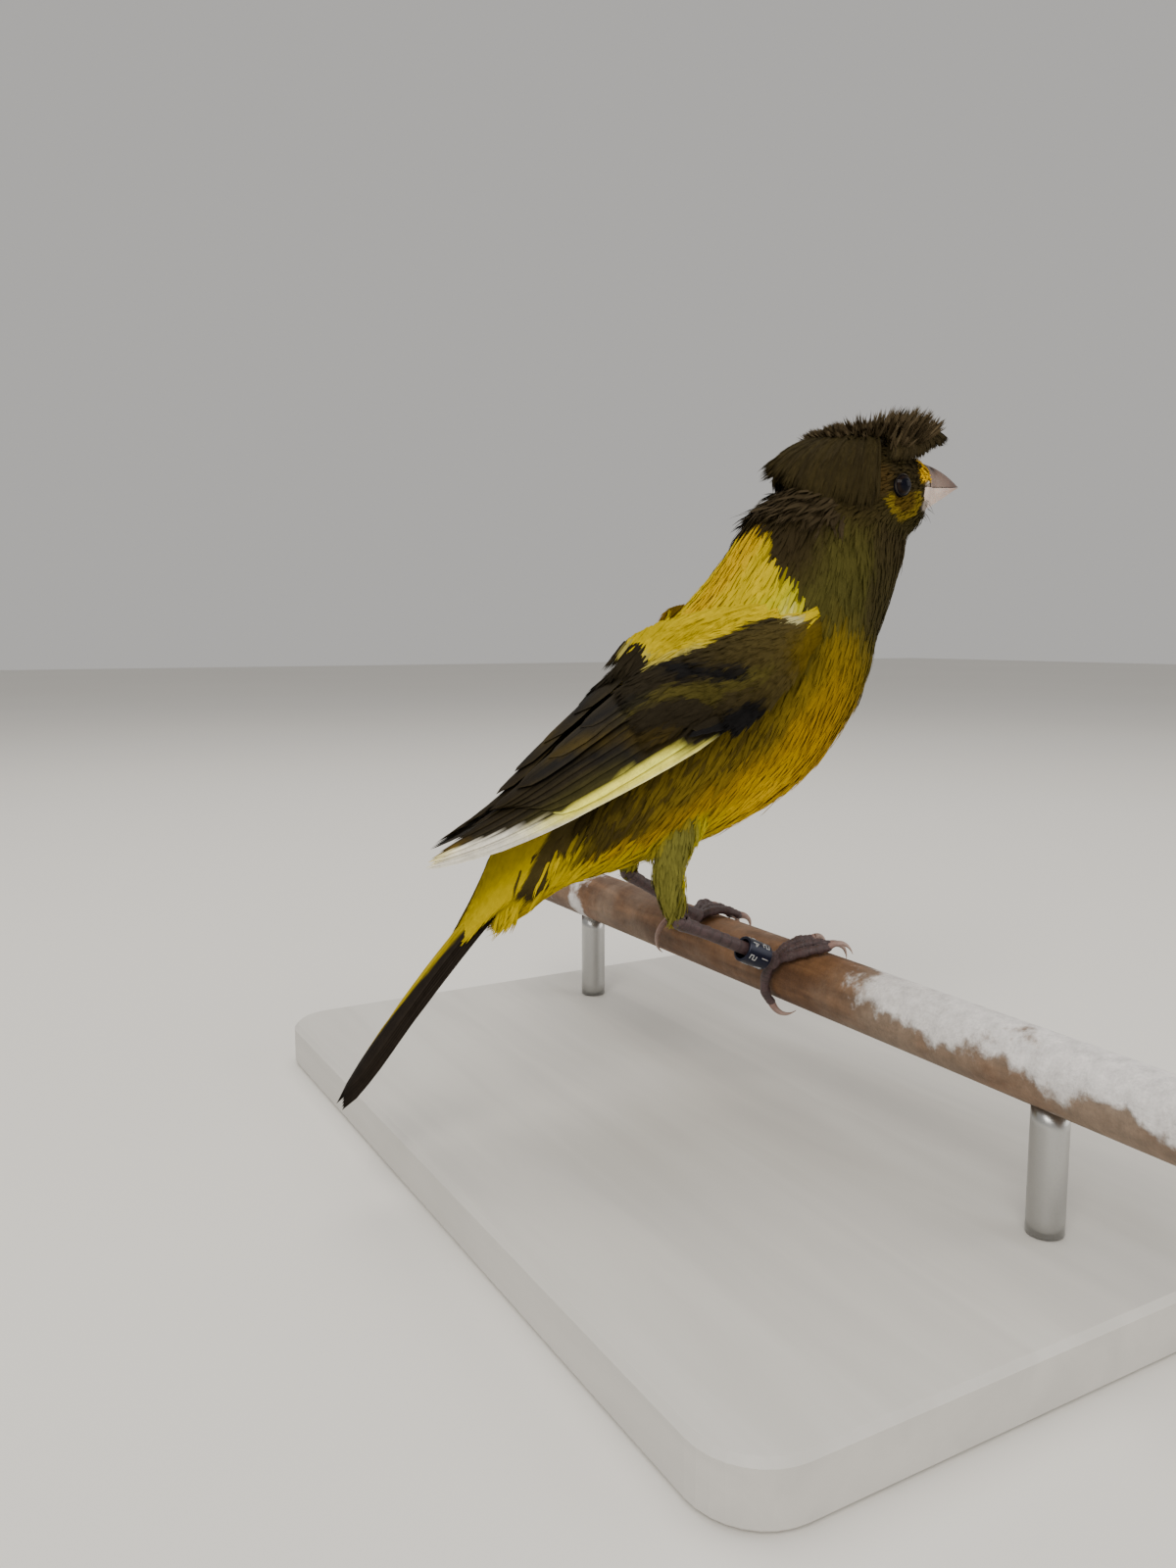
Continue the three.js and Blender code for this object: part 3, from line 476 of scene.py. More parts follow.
@dataclass
class Surface:
    """A material while its nodes are written."""

    name: str
    effects: Effects | None = None

    def __post_init__(self) -> None:
        """Starts the material with an empty tree, a shader and an output."""
        self.material = bpy.data.materials.new(self.name)
        self.material.use_nodes = True
        self.material.node_tree.nodes.clear()
        self.graph = Graph(self.material.node_tree)
        self.shader = self.graph.add("ShaderNodeBsdfPrincipled")
        self.graph.add("ShaderNodeOutputMaterial", {"Surface": self.shader.outputs[0]})

    def set(self, **values: object) -> None:
        """Sets inputs of the shader, with _ for a space, to values or sockets."""
        for key, value in values.items():
            self.graph.plug(value, self.shader.inputs[key.replace("_", " ")])

    def bump(self, height: object, strength: float, distance: float) -> None:
        """Raises the surface by a height, over a distance in metres."""
        inputs = {"Height": height, "Strength": strength, "Distance": distance}
        self.set(Normal=self.graph.add("ShaderNodeBump", inputs).outputs[0])

    def place(self) -> Socket:
        """The place on the object, in metres."""
        return self.graph.add("ShaderNodeTexCoord").outputs["Object"]

    def colour(self, key: str) -> Socket:
        """A colour kept on the mesh."""
        return self.graph.add("ShaderNodeAttribute", attribute_name=key).outputs["Color"]

    def lit(self, colour: object, light: object) -> Socket:
        """A colour made lighter or darker."""
        grey = self.graph.add("ShaderNodeCombineColor", {0: light, 1: light, 2: light}).outputs[0]
        return self.graph.blend(1.0, colour, grey, "MULTIPLY")

    def group(self, tree: Tree, *results: str, **inputs: object) -> list[Socket]:
        """The named results of a node group with these inputs."""
        node = self.graph.add("ShaderNodeGroup", inputs, node_tree=tree)
        return [node.outputs[key] for key in results]

    def mottle(self, scale: float, amount: float) -> list[Socket]:
        """The tone and the height of the mottle over the object."""
        tree = self.effects.mottle
        return self.group(tree, "Tone", "Height", Place=self.place(), Scale=scale, Amount=amount)

    def grain(self, scale: float, stretch: float) -> list[Socket]:
        """The fibres and the bands of the grain over the object."""
        tree = self.effects.grain
        return self.group(tree, "Fibre", "Band", Place=self.place(), Scale=scale, Stretch=stretch)


@dataclass(frozen=True)
class Finish:
    """What every finish of the model has."""

    name: str

    def build(self, effects: Effects) -> bpy.types.Material:
        """Makes the material."""
        surface = Surface(self.name, effects)
        self.write(surface, surface.graph)
        return surface.material

    def write(self, s: Surface, g: Graph) -> None:
        """Writes the nodes of the surface."""
        raise NotImplementedError


@dataclass(frozen=True)
class DownFinish(Finish):
    """Soft small feathers: the mesh's colour with painted shade towards the roots, in fine slanted streaks.
    """

    name: str = "down"
    roughness: float = 0.9
    # How much painted shade darkens each tuft at its root.
    depth: float = 0.16
    unevenness: float = 0.2
    streak: float = 0.07

    def write(self, s: Surface, g: Graph) -> None:
        """Writes the nodes of the surface."""
        vane = g.add("ShaderNodeUVMap", uv_map="Vane").outputs[0]
        along = g.add("ShaderNodeSeparateXYZ", {0: vane}).outputs["Y"]
        barb, = s.group(s.effects.barbs, "Barb", Vane=vane, Count=7.0, Slant=0.8, Fray=0.6)
        tone, height = s.mottle(1100.0, self.unevenness)
        # Painted shade: each tuft darkens towards its root by the depth.
        shade = g.line(g.smooth_step(along, 0.0, 0.6), self.depth, 1.0 - self.depth)
        fine = g.line(barb, self.streak, 1.0 - self.streak / 2)
        light = g.times(g.times(shade, fine), tone)
        s.set(Base_Color=s.lit(s.colour("tone"), light), Roughness=self.roughness, Specular_IOR_Level=0.04)
        s.bump(height, 0.12, 0.0001)


@dataclass(frozen=True)
class VaneFinish(Finish):
    """Firm feathers: a web, a softly coloured edge, a shaft and fine slanted barbs."""

    name: str = "vane"
    roughness: float = 0.75
    edge: tuple[float, float] = (0.6, 1.0)
    barbs: float = 46.0
    contrast: float = 0.16

    def write(self, s: Surface, g: Graph) -> None:
        """Writes the nodes of the surface."""
        vane = g.add("ShaderNodeUVMap", uv_map="Vane").outputs[0]
        barb, shaft, edge = s.group(
            s.effects.barbs, "Barb", "Shaft", "Edge", Vane=vane, Count=self.barbs, Slant=0.3, Fray=0.6)
        tone, _ = s.mottle(600.0, 0.3)
        light = g.times(tone, g.line(barb, self.contrast, 1.0 - self.contrast / 2))
        web = s.lit(g.blend(g.smooth_step(edge, *self.edge), s.colour("tone"), s.colour("accent")), light)
        s.set(Base_Color=g.blend(g.times(shaft, 0.7), web, s.lit(web, 0.45)))
        s.set(Roughness=self.roughness, Specular_IOR_Level=0.06)
        s.bump(g.line(barb, 0.5, shaft), 0.3, 0.0001)


@dataclass(frozen=True)
class HornFinish(Finish):
    """Smooth horn of the bill and the claws, streaked along its growth."""

    roughness: float = 0.36
    streak: float = 0.25

    def write(self, s: Surface, g: Graph) -> None:
        """Writes the nodes of the surface."""
        tone, height = s.mottle(700.0, self.streak)
        s.set(Base_Color=s.lit(s.colour("tone"), tone), Roughness=g.line(height, 0.2, self.roughness - 0.1))
        s.set(Subsurface_Weight=0.12, Subsurface_Radius=(0.002, 0.001, 0.0006), Specular_IOR_Level=0.3)
        s.bump(height, 0.25, 0.0001)


@dataclass(frozen=True)
class ScaleFinish(Finish):
    """The scaly skin of the legs, with a fine net between its plates."""

    name: str = "leg_skin"
    roughness: float = 0.5

    def write(self, s: Surface, g: Graph) -> None:
        """Writes the nodes of the surface."""
        tone, height = s.mottle(800.0, 0.5)
        cells = {"Vector": s.place(), "Scale": 2600.0}
        net = g.add("ShaderNodeTexVoronoi", cells, feature="DISTANCE_TO_EDGE")
        groove = g.smooth_step(net.outputs["Distance"], 0.0, 0.12)
        s.set(Base_Color=s.lit(s.colour("tone"), g.times(tone, g.line(groove, 0.3, 0.75))))
        s.set(Roughness=g.line(height, 0.25, self.roughness - 0.12))
        s.bump(g.line(groove, 0.6, height), 0.5, 0.00012)


@dataclass(frozen=True)
class EyeFinish(Finish):
    """The wet, nearly black eye."""

    name: str = "eye"

    def write(self, s: Surface, g: Graph) -> None:
        """Writes the nodes of the surface."""
        tone, _ = s.mottle(1500.0, 0.4)
        s.set(Base_Color=s.lit(s.colour("tone"), tone), Roughness=0.06, IOR=1.33, Specular_IOR_Level=0.14)


@dataclass(frozen=True)
class RingFinish(Finish):
    """Anodised metal of the leg ring, a little scuffed."""

    name: str = "ring_metal"
    colour: Colour = (0.006, 0.008, 0.024)
    scuff: Colour = (0.03, 0.036, 0.07)

    def write(self, s: Surface, g: Graph) -> None:
        """Writes the nodes of the surface."""
        _, height = s.mottle(1200.0, 0.5)
        worn = g.smooth_step(height, 0.58, 0.72)
        s.set(Base_Color=g.blend(worn, self.colour, self.scuff), Metallic=0.35, Specular_IOR_Level=0.4)
        s.set(Roughness=g.line(height, 0.25, 0.22))
        s.bump(height, 0.1, 0.00005)


@dataclass(frozen=True)
class WoodFinish(Finish):
    """Worn round wood under a thin pale film, with whitish patches gathered over the top of its near end."""

    name: str = "perch_wood"
    dark: Colour = (0.085, 0.040, 0.018)
    light: Colour = (0.22, 0.112, 0.052)
    film: Colour = (0.26, 0.20, 0.15)
    pale_patch: Colour = (0.72, 0.70, 0.69)

    def write(self, s: Surface, g: Graph) -> None:
        """Writes the nodes of the surface."""
        place = s.place()
        fibre, band = s.grain(330.0, 0.12)
        tone, height = s.mottle(520.0, 0.35)
        worn = g.noise(place, 75.0, Detail=7.0, Roughness=0.62)
        haze = g.noise(place, 34.0, Detail=6.0, Roughness=0.6)
        wood = g.blend(g.smooth_step(band, 0.3, 0.72), self.dark, self.light)
        wood = g.blend(g.times(g.smooth_step(fibre, 0.45, 0.7), 0.3), wood, self.dark)
        parts = g.add("ShaderNodeSeparateXYZ", {0: place}).outputs
        near = g.smooth_step(parts["Y"], -0.008, -0.04)
        top = g.smooth_step(parts["Z"], 0.0265, 0.034)
        greyed = g.times(g.smooth_step(g.line(near, 0.13, haze), 0.42, 0.72), 0.75)
        # Whitish patches from noise, gathered over the top of the perch's near end.
        reach = g.times(near, g.line(top, 0.3, -0.01))
        patch = g.smooth_step(g.plus(worn, reach), 0.6, 0.7)
        base = g.blend(g.times(patch, 0.88), g.blend(greyed, wood, self.film), self.pale_patch)
        s.set(Base_Color=s.lit(base, tone), Specular_IOR_Level=0.3, Roughness=g.line(patch, 0.2, 0.6))
        s.bump(g.plus(g.line(fibre, 0.5, patch), height), 0.6, 0.0003)


@dataclass(frozen=True)
class PaintFinish(Finish):
    """Matt paint on the stand's base, with the grain of the board faintly through it."""

    name: str = "base_paint"
    colour: Colour = (0.62, 0.6, 0.56)

    def write(self, s: Surface, g: Graph) -> None:
        """Writes the nodes of the surface."""
        fibre, band = s.grain(120.0, 0.1)
        shade = tuple(0.9 * c for c in self.colour)
        s.set(Base_Color=g.blend(g.smooth_step(band, 0.3, 0.7), shade, self.colour))
        s.set(Roughness=g.line(fibre, 0.2, 0.45))
        s.bump(fibre, 0.2, 0.0001)


@dataclass(frozen=True)
class SteelFinish(Finish):
    """Brushed steel of the stand's rods."""

    name: str = "rod_steel"
    colour: Colour = (0.5, 0.5, 0.49)

    def write(self, s: Surface, g: Graph) -> None:
        """Writes the nodes of the surface."""
        fibre, _ = s.grain(500.0, 3.0)
        shade = tuple(0.8 * c for c in self.colour)
        s.set(Base_Color=g.blend(fibre, shade, self.colour), Metallic=1.0, Roughness=g.line(fibre, 0.25, 0.2))
        s.bump(fibre, 0.1, 0.00005)


@dataclass
class Wardrobe:
    """Every material of the scene, built once."""

    def __post_init__(self) -> None:
        """Builds the shared groups and the materials."""
        effects = Effects(mottle_group(), barbs_group(), grain_group())
        self.down = DownFinish().build(effects)
        self.skin = DownFinish("skin", 0.8, 0.0, 0.35, 0.0).build(effects)
        self.vane = VaneFinish().build(effects)
        self.pale_vane = VaneFinish("pale_vane", 0.5, (0.7, 1.1), 60.0, 0.12).build(effects)
        self.horn = HornFinish("bill_horn").build(effects)
        self.claw = HornFinish("claw_horn", 0.4, 0.3).build(effects)
        self.scales = ScaleFinish().build(effects)
        self.eye = EyeFinish().build(effects)
        self.ring = RingFinish().build(effects)
        self.numeral = HornFinish("ring_numerals", 0.5, 0.15).build(effects)
        self.wood = WoodFinish().build(effects)
        self.paint = PaintFinish().build(effects)
        self.steel = SteelFinish().build(effects)


# Colours


def rgb(*parts: float) -> Array:
    """One colour as an array."""
    return np.array(parts)


YELLOW = rgb(0.50, 0.37, 0.0)
LEMON = rgb(0.49, 0.44, 0.002)
AMBER = rgb(0.49, 0.295, 0.0)
BELLY = rgb(0.56, 0.355, 0.0)
GOLD = rgb(0.33, 0.19, 0.001)
BRONZE = rgb(0.20, 0.132, 0.004)
FLANK = rgb(0.125, 0.088, 0.008)
MOSS = rgb(0.062, 0.055, 0.012)
OLIVE = rgb(0.042, 0.031, 0.009)
UMBER = rgb(0.026, 0.0185, 0.0085)
SOOT = rgb(0.0085, 0.0078, 0.0078)
CREAM = rgb(0.80, 0.74, 0.20)
CHALK = rgb(0.68, 0.64, 0.53)
STRAW = rgb(0.72, 0.62, 0.24)
PRIMROSE = rgb(0.86, 0.79, 0.11)
FADED_YELLOW = rgb(0.42, 0.38, 0.17)
DUSKY_YELLOW = rgb(0.33, 0.30, 0.09)
EAR = rgb(0.058, 0.036, 0.010)
EYE_PATCH = rgb(0.19, 0.135, 0.010)
EYE_PATCH_MIDDLE = rgb(0.10, 0.062, 0.008)
LORE = rgb(0.66, 0.385, 0.001)
GAPE = rgb(0.5, 0.43, 0.37)
FLUFF = rgb(0.082, 0.060, 0.032)
CREST = rgb(0.027, 0.0205, 0.0095)
WING_DARK = rgb(0.0195, 0.015, 0.0082)
WING_GREEN = rgb(0.066, 0.054, 0.011)
WING_BROWN = rgb(0.044, 0.030, 0.0065)
WING_RUST = rgb(0.11, 0.066, 0.008)
TAIL_DARK = rgb(0.0125, 0.0092, 0.0065)
STEM_GREEN = rgb(0.16, 0.15, 0.028)
STEM_YELLOW = rgb(0.46, 0.39, 0.01)
EYEBALL = rgb(0.004, 0.0045, 0.009)
IRIS = rgb(0.016, 0.009, 0.006)
LID = rgb(0.012, 0.009, 0.007)
LID_PALE = rgb(0.06, 0.052, 0.045)
BILL_ROOT = rgb(0.15, 0.085, 0.06)
BILL_TIP = rgb(0.085, 0.045, 0.035)
BILL_EDGE = rgb(0.26, 0.18, 0.145)
NOSTRIL = rgb(0.012, 0.008, 0.007)
JAW_ROOT = rgb(0.62, 0.49, 0.42)
JAW_TIP = rgb(0.44, 0.31, 0.26)
LEG_SKIN = rgb(0.056, 0.031, 0.032)
CLAW_ROOT = rgb(0.22, 0.13, 0.11)
CLAW_TIP = rgb(0.44, 0.33, 0.28)
NUMERAL = rgb(0.4, 0.4, 0.4)
PLAIN = np.zeros(3)


@dataclass
class Form:
    """The shape of the bird's flesh: a trunk and a head, each a row of stations."""

    trunk: tuple = (
        # x, z, lean, half-width, back, belly
        (-50, 15, 48, 5.2, 3.6, 3.8), (-43.5, 21.5, 47, 7.6, 6, 7), (-32, 28.8, 44, 12.4, 10.2, 12.2),
        (-20.5, 36, 43, 15.6, 13.2, 16.6), (-9, 44.5, 47, 17.2, 15.4, 19.6), (0.5, 54, 53, 16.4, 15, 19.2),
        (6.5, 63, 62, 14, 14, 17.1), (11, 71.5, 70, 11.6, 13, 17.2), (14.5, 80, 80, 8.8, 8, 17.9))
    head: tuple = (
        # x, z, half-width, up, down
        (6.8, 80.5, 1.6, 1.4, 1.8), (8.8, 80.8, 5.4, 5, 6.2), (12.6, 81, 7.9, 8, 9.2),
        (17, 81.2, 8.8, 9.3, 10), (22, 81.4, 8.6, 8.9, 10.1), (27, 81.4, 7.3, 7.2, 9.7),
        (31, 81.6, 5.5, 5.4, 8.0), (34, 81.8, 3.3, 4.2, 3.9))
    yaw: float = -4.0
    pivot: float = 16.0
    neck: Triple = (14.0, 74.6, 86.0)  # where head and neck part, and the lean there
    coat: float = 0.9

    def trunk_at(self, t: Array, a: Array, lift: float = 0.0) -> Array:
        """Points of the trunk's surface, at t from tail to head and an angle round it."""
        q = read(self.trunk, t)
        lean = np.radians(q[..., 2])
        depth = np.where(np.sin(a) > 0, q[..., 4], q[..., 5]) + lift
        x = q[..., 0] - np.sin(lean) * depth * np.sin(a)
        z = q[..., 1] + np.cos(lean) * depth * np.sin(a)
        return np.stack([x, (q[..., 3] + lift) * np.cos(a), z], -1)

    def head_at(self, t: Array, a: Array, lift: float = 0.0) -> Array:
        """Points of the head's surface, at t from nape to bill and an angle round it."""
        q = read(self.head, t)
        depth = np.where(np.sin(a) > 0, q[..., 3], q[..., 4]) + lift
        y, z = (q[..., 2] + lift) * np.cos(a), q[..., 1] + depth * np.sin(a)
        return self.turn(np.stack([q[..., 0], y, z], -1))

    def turn(self, p: Array, back: bool = False) -> Array:
        """Turns points of the straight head to where it looks, or back again."""
        yaw = math.radians(-self.yaw if back else self.yaw)
        x, y = p[..., 0] - self.pivot, p[..., 1]
        return np.stack([self.pivot + x * math.cos(yaw) - y * math.sin(yaw),
                         x * math.sin(yaw) + y * math.cos(yaw), p[..., 2]], -1)

    def along_trunk(self, p: Array) -> tuple[Array, Array, Array]:
        """Finds where points lie along and round the trunk.

        Args:
            p: Points, in mm.

        Returns:
            t from tail to head, the angle from the middle of the back in degrees, and the axis there.
        """
        steps = np.linspace(0, 1, 161)
        q = read(self.trunk, steps)
        lean = np.radians(q[:, 2])
        axis = np.stack([np.cos(lean), 0 * lean, np.sin(lean)], 1)
        centre = np.stack([q[:, 0], 0 * lean, q[:, 1]], 1)
        gap = p[:, None] - centre[None]
        off = np.abs(np.einsum("pkc,kc->pk", gap, axis)) + 0.12 * np.linalg.norm(gap, axis=2)
        k = off.argmin(1)
        up = np.stack([-np.sin(lean), 0 * lean, np.cos(lean)], 1)[k]
        high = np.sum(gap[np.arange(len(p)), k] * up, 1)
        across = np.abs(p[:, 1])
        round_back = np.degrees(np.arctan2(across, high))
        return steps[k], round_back, axis[k]

    def in_head(self, p: Array) -> Array:
        """How far points belong to the head, from 0 to 1."""
        lean = math.radians(self.neck[2])
        beyond = (p[:, 0] - self.neck[0]) * math.cos(lean) + (p[:, 2] - self.neck[1]) * math.sin(lean)
        return ramp(-3.5, 3.0, beyond)

    def unwrap(self, p: Array) -> Array:
        """The places of points on an unwrap of the skin: round it, and from tail to bill."""
        t, _, _ = self.along_trunk(p)
        w = self.in_head(p)
        q = self.turn(p, back=True)
        centre = read(self.trunk, t)
        a_trunk = np.arctan2(p[:, 1], np.hypot(p[:, 0] - centre[:, 0], p[:, 2] - centre[:, 1])
                             * np.sign(p[:, 2] - centre[:, 1] - (p[:, 0] - centre[:, 0])))
        a_head = np.arctan2(q[:, 1], q[:, 2] - 81.0)
        share = np.clip((q[:, 0] - 4.0) / 32.0, 0, 1)
        u = 0.5 + np.where(w > 0.5, a_head, a_trunk) / TURN * 0.96
        v = np.where(w > 0.5, 0.72 + 0.26 * share, 0.02 + 0.68 * t)
        return np.stack([u, v], 1)


@dataclass
class Markings:
    """The colours of the plumage over the whole bird."""

    form: Form
    # The saddle's edge towards the neck and towards the tail, by the angle from the back.
    fore: tuple = ((0, 15, 30, 45, 60, 72), (0.83, 0.80, 0.735, 0.69, 0.66, 0.65))
    rear: tuple = ((0, 10, 20, 28, 40, 52, 65, 72), (0.36, 0.38, 0.43, 0.48, 0.545, 0.595, 0.615, 0.64))

    def paint(self, p: Array) -> Array:
        """The colour at each point of the skin.

        Args:
            p: Points on or near the skin, in mm.

        Returns:
            A colour for each point.
        """
        t, phi, _ = self.form.along_trunk(p)
        head = self.form.in_head(p)
        place = np.stack([t * 19, phi * 0.3, 5 * np.sign(p[:, 1])], 1)
        streak = (blotches(place, 1.0, 13) - 0.5) * (1 - head) + (blotches(p, 0.9, 19) - 0.5) * head
        broad = blotches(place, 2.6, 17) - 0.5
        return mix(self._body(p, t, phi), self._head(p), head) * (1 + 0.16 * streak + 0.2 * broad)[:, None]

    def _body(self, p: Array, t: Array, phi: Array) -> Array:
        """The colours of neck, trunk and rump, by place along the trunk and degrees off the back's middle."""
        at = t + 0.03 * (blotches(p, 3.0, 3) - 0.5)
        off = phi + 10 * (blotches(p, 4.0, 5) - 0.5)
        pale = ramp(0.60, 0.615, at) * ramp(0.655, 0.635, at) * ramp(50, 60, off)
        sun = layered(YELLOW, (LEMON, ramp(32, 56, off)), (AMBER, 0.8 * ramp(22, 5, off)),
                      (CREAM * 0.8, 0.65 * pale))
        before = ramp(-0.01, 0.008, np.interp(off, *self.fore) - at)
        saddle = before * ramp(-0.008, 0.008, at - np.interp(off, *self.rear))
        root = ramp(0.19, 0.13, at)
        wedge = 62 - 180 * (0.15 - at)
        return layered(
            OLIVE,
            (MOSS, ramp(40, 75, off) * ramp(0.95, 0.8, at)),
            (UMBER, 0.9 * ramp(0.64, 0.78, at) * ramp(78, 38, off)),
            (UMBER * 1.3, 0.7 * ramp(0.67, 0.73, at) * ramp(100, 118, off)),
            (BRONZE, ramp(0.72, 0.6, at) * ramp(72, 100, off)),
            (GOLD, ramp(0.66, 0.5, at) * ramp(93, 114, off)),
            (mix(BELLY, YELLOW * 0.92, ramp(0.40, 0.30, t)), ramp(0.55, 0.40, at) * ramp(104, 124, off)),
            (FLANK, ramp(0.56, 0.46, at) * ramp(56, 66, off) * ramp(108, 92, off)),
            (OLIVE * 0.9, ramp(0.54, 0.46, at) * ramp(70, 60, off)),
            (OLIVE * 0.85, 0.8 * ramp(0.28, 0.2, at) * ramp(60, 70, off) * ramp(104, 94, off)),
            (sun, saddle * ramp(77, 70, off)),
            (YELLOW, root * np.maximum(ramp(36, 28, off), ramp(wedge + 8, wedge + 22, off))),
            (OLIVE * 1.5, root * ramp(28, 38, off) * ramp(wedge + 20, wedge + 6, off)))

    def _head(self, p: Array) -> Array:
        """The colours of the head."""
        q = self.form.turn(p, back=True)
        x, y, z = q[:, 0], np.abs(q[:, 1]), q[:, 2]
        stir = blotches(p, 1.6, 7) - 0.5
        ring = np.hypot((x - 23.9) / 4.7, (z - 78.6) / 3.5) + 0.16 * stir
        below = ramp(1.1, 0.95, ring) * ramp(1.0, 0.2, z - 79.0 - 0.12 * (x - 22))
        edge = 27.6 + 0.5 * np.maximum(0, z - 83.5)
        return layered(
            UMBER,
            (OLIVE, np.clip(0.4 + 0.6 * stir + 0.3 * ramp(84, 76, z), 0, 1)),
            (MOSS * 0.8, 0.7 * ramp(79, 72, z) * ramp(14, 22, x)),
            (EAR, ramp(1.2, 0.5, np.hypot(x - 17.0, z - 81.6) / 3.4 + 0.3 * stir)),
            (mix(EYE_PATCH, EYE_PATCH_MIDDLE, ramp(0.72, 0.5, ring)), below * ramp(3.5, 5.0, y)),
            (LORE, ramp(-0.3, 0.3, x - edge + 0.4 * stir) * ramp(81.7, 82.3, z)),
            (GAPE, ramp(29.6, 30.2, x) * ramp(82.5, 82.1, z) * ramp(76.9, 77.5, z)))

    def streaks(self, p: Array) -> Array:
        """How far each point lies on the dark streaks of the flank, from 0 to 1."""
        t, phi, _ = self.form.along_trunk(p)
        return ramp(0.56, 0.44, t) * ramp(54, 66, phi) * ramp(106, 94, phi) * ramp(0.1, 0.16, t)

    def wing(self, u: Array, v: Array) -> Array:
        """The colours of the folded wing.

        Args:
            u: Places from the shoulder to the tip, from 0 to 1.
            v: Places down from the wing's upper edge to its lower one, from 0 to 1.

        Returns:
            A colour for each place.
        """
        place = np.stack([u * 66, v * 20, 0 * u], 1)
        stir, fine = blotches(place, 3.0, 21) - 0.5, blotches(place * [0.22, 1.6, 1], 1.0, 23) - 0.5
        d, w = u + 0.02 * stir, v + 0.05 * stir

        def band(us: tuple, vs: tuple, wide: float) -> Array:
            """How far places lie on a band along a line, from 0 to 1."""
            return (ramp(wide, 0.35 * wide, np.abs(w - np.interp(d, us, vs)))
                    * ramp(us[0] - 0.03, us[0] + 0.02, d) * ramp(us[-1] + 0.03, us[-1] - 0.02, d))

        white = ramp(-0.015, 0.012, v - np.interp(
            u, (0.33, 0.4, 0.46, 0.55, 0.63, 0.71, 0.77, 0.82, 0.89, 1.0),
            (1.0, 0.93, 0.84, 0.845, 0.87, 0.87, 0.82, 0.72, 0.62, 0.5)))
        chalk = layered(PRIMROSE, (CHALK, np.clip(ramp(0.93, 0.99, v) + ramp(0.66, 0.8, u), 0, 1)),
                        (STRAW, 0.8 * ramp(0.88, 0.95, u) * ramp(0.9, 0.7, v)))
        low = np.interp(d, (-0.05, 0.0, 0.05, 0.1, 0.14, 0.2, 0.25, 0.3, 0.36, 0.41, 0.44),
                        (0.5, 0.45, 0.3, 0.02, 0.0, 0.1, 0.17, 0.19, 0.17, 0.1, -0.3))
        sun = layered(YELLOW, (DUSKY_YELLOW, 0.75 * ramp(-0.1, 0.0, w - low) * ramp(0.2, 0.3, d)),
                      (FADED_YELLOW, ramp(0.02, 0.045, d) * ramp(0.10, 0.08, d) * ramp(0.0, 0.2, w)))
        colour = layered(
            WING_DARK,
            (OLIVE * 1.3, ramp(0.36, 0.14, d) * ramp(0.0, 0.2, w)),
            (BRONZE * 0.5, ramp(0.16, 0.02, d) * ramp(0.3, 0.8, w)),
            (WING_GREEN, 0.85 * band((0.16, 0.3, 0.4, 0.5), (0.72, 0.67, 0.52, 0.38), 0.12)),
            (WING_BROWN, 0.85 * band((0.44, 0.5, 0.6, 0.66), (0.84, 0.68, 0.35, 0.2), 0.12)),
            (SOOT * 1.1, 0.85 * band((0.5, 0.62, 0.78), (0.78, 0.46, 0.3), 0.13)),
            (SOOT * 1.1, 0.8 * band((0.44, 0.5, 0.58), (0.45, 0.32, 0.18), 0.12)),
            (SOOT, band((0.22, 0.28, 0.33, 0.37), (0.62, 0.52, 0.38, 0.22), 0.13)),
            (UMBER * 0.62, ramp(0.66, 0.76, d) * ramp(0.62, 0.45, w)),
            (MOSS * 0.7, 0.6 * ramp(0.5, 0.58, d) * ramp(0.8, 0.74, d) * ramp(0.62, 0.8, w)),
            (WING_RUST, 0.8 * ramp(0.88, 0.91, d) * ramp(0.36, 0.46, w)),
            (SOOT * 0.85, ramp(0.19, 0.225, d) * ramp(0.4, 0.36, d) * ramp(0.88, 0.925, w)),
            (chalk, white * ramp(0.31, 0.33, u)),
            (sun, ramp(0.03, -0.02, w - low)))
        return colour * (1 + 0.3 * fine + 0.2 * stir)[:, None]

    def shin(self, p: Array) -> Array:
        """The colours of the feathered shins: greenish behind and yellow in front."""
        stir = blotches(p * [1, 1, 0.25], 0.8, 29) - 0.5
        middle = np.interp(p[:, 2], (10, 20, 30), (-22.2, -23.4, -21)) + np.where(p[:, 1] > 0, 3.6, 0.0)
        front = np.clip(ramp(-1.2, 1.6, p[:, 0] - middle + 3.0 * stir), 0, 1)
        return mix(STEM_GREEN, STEM_YELLOW, front) * (1 + 0.3 * stir)[:, None]


# Tufts


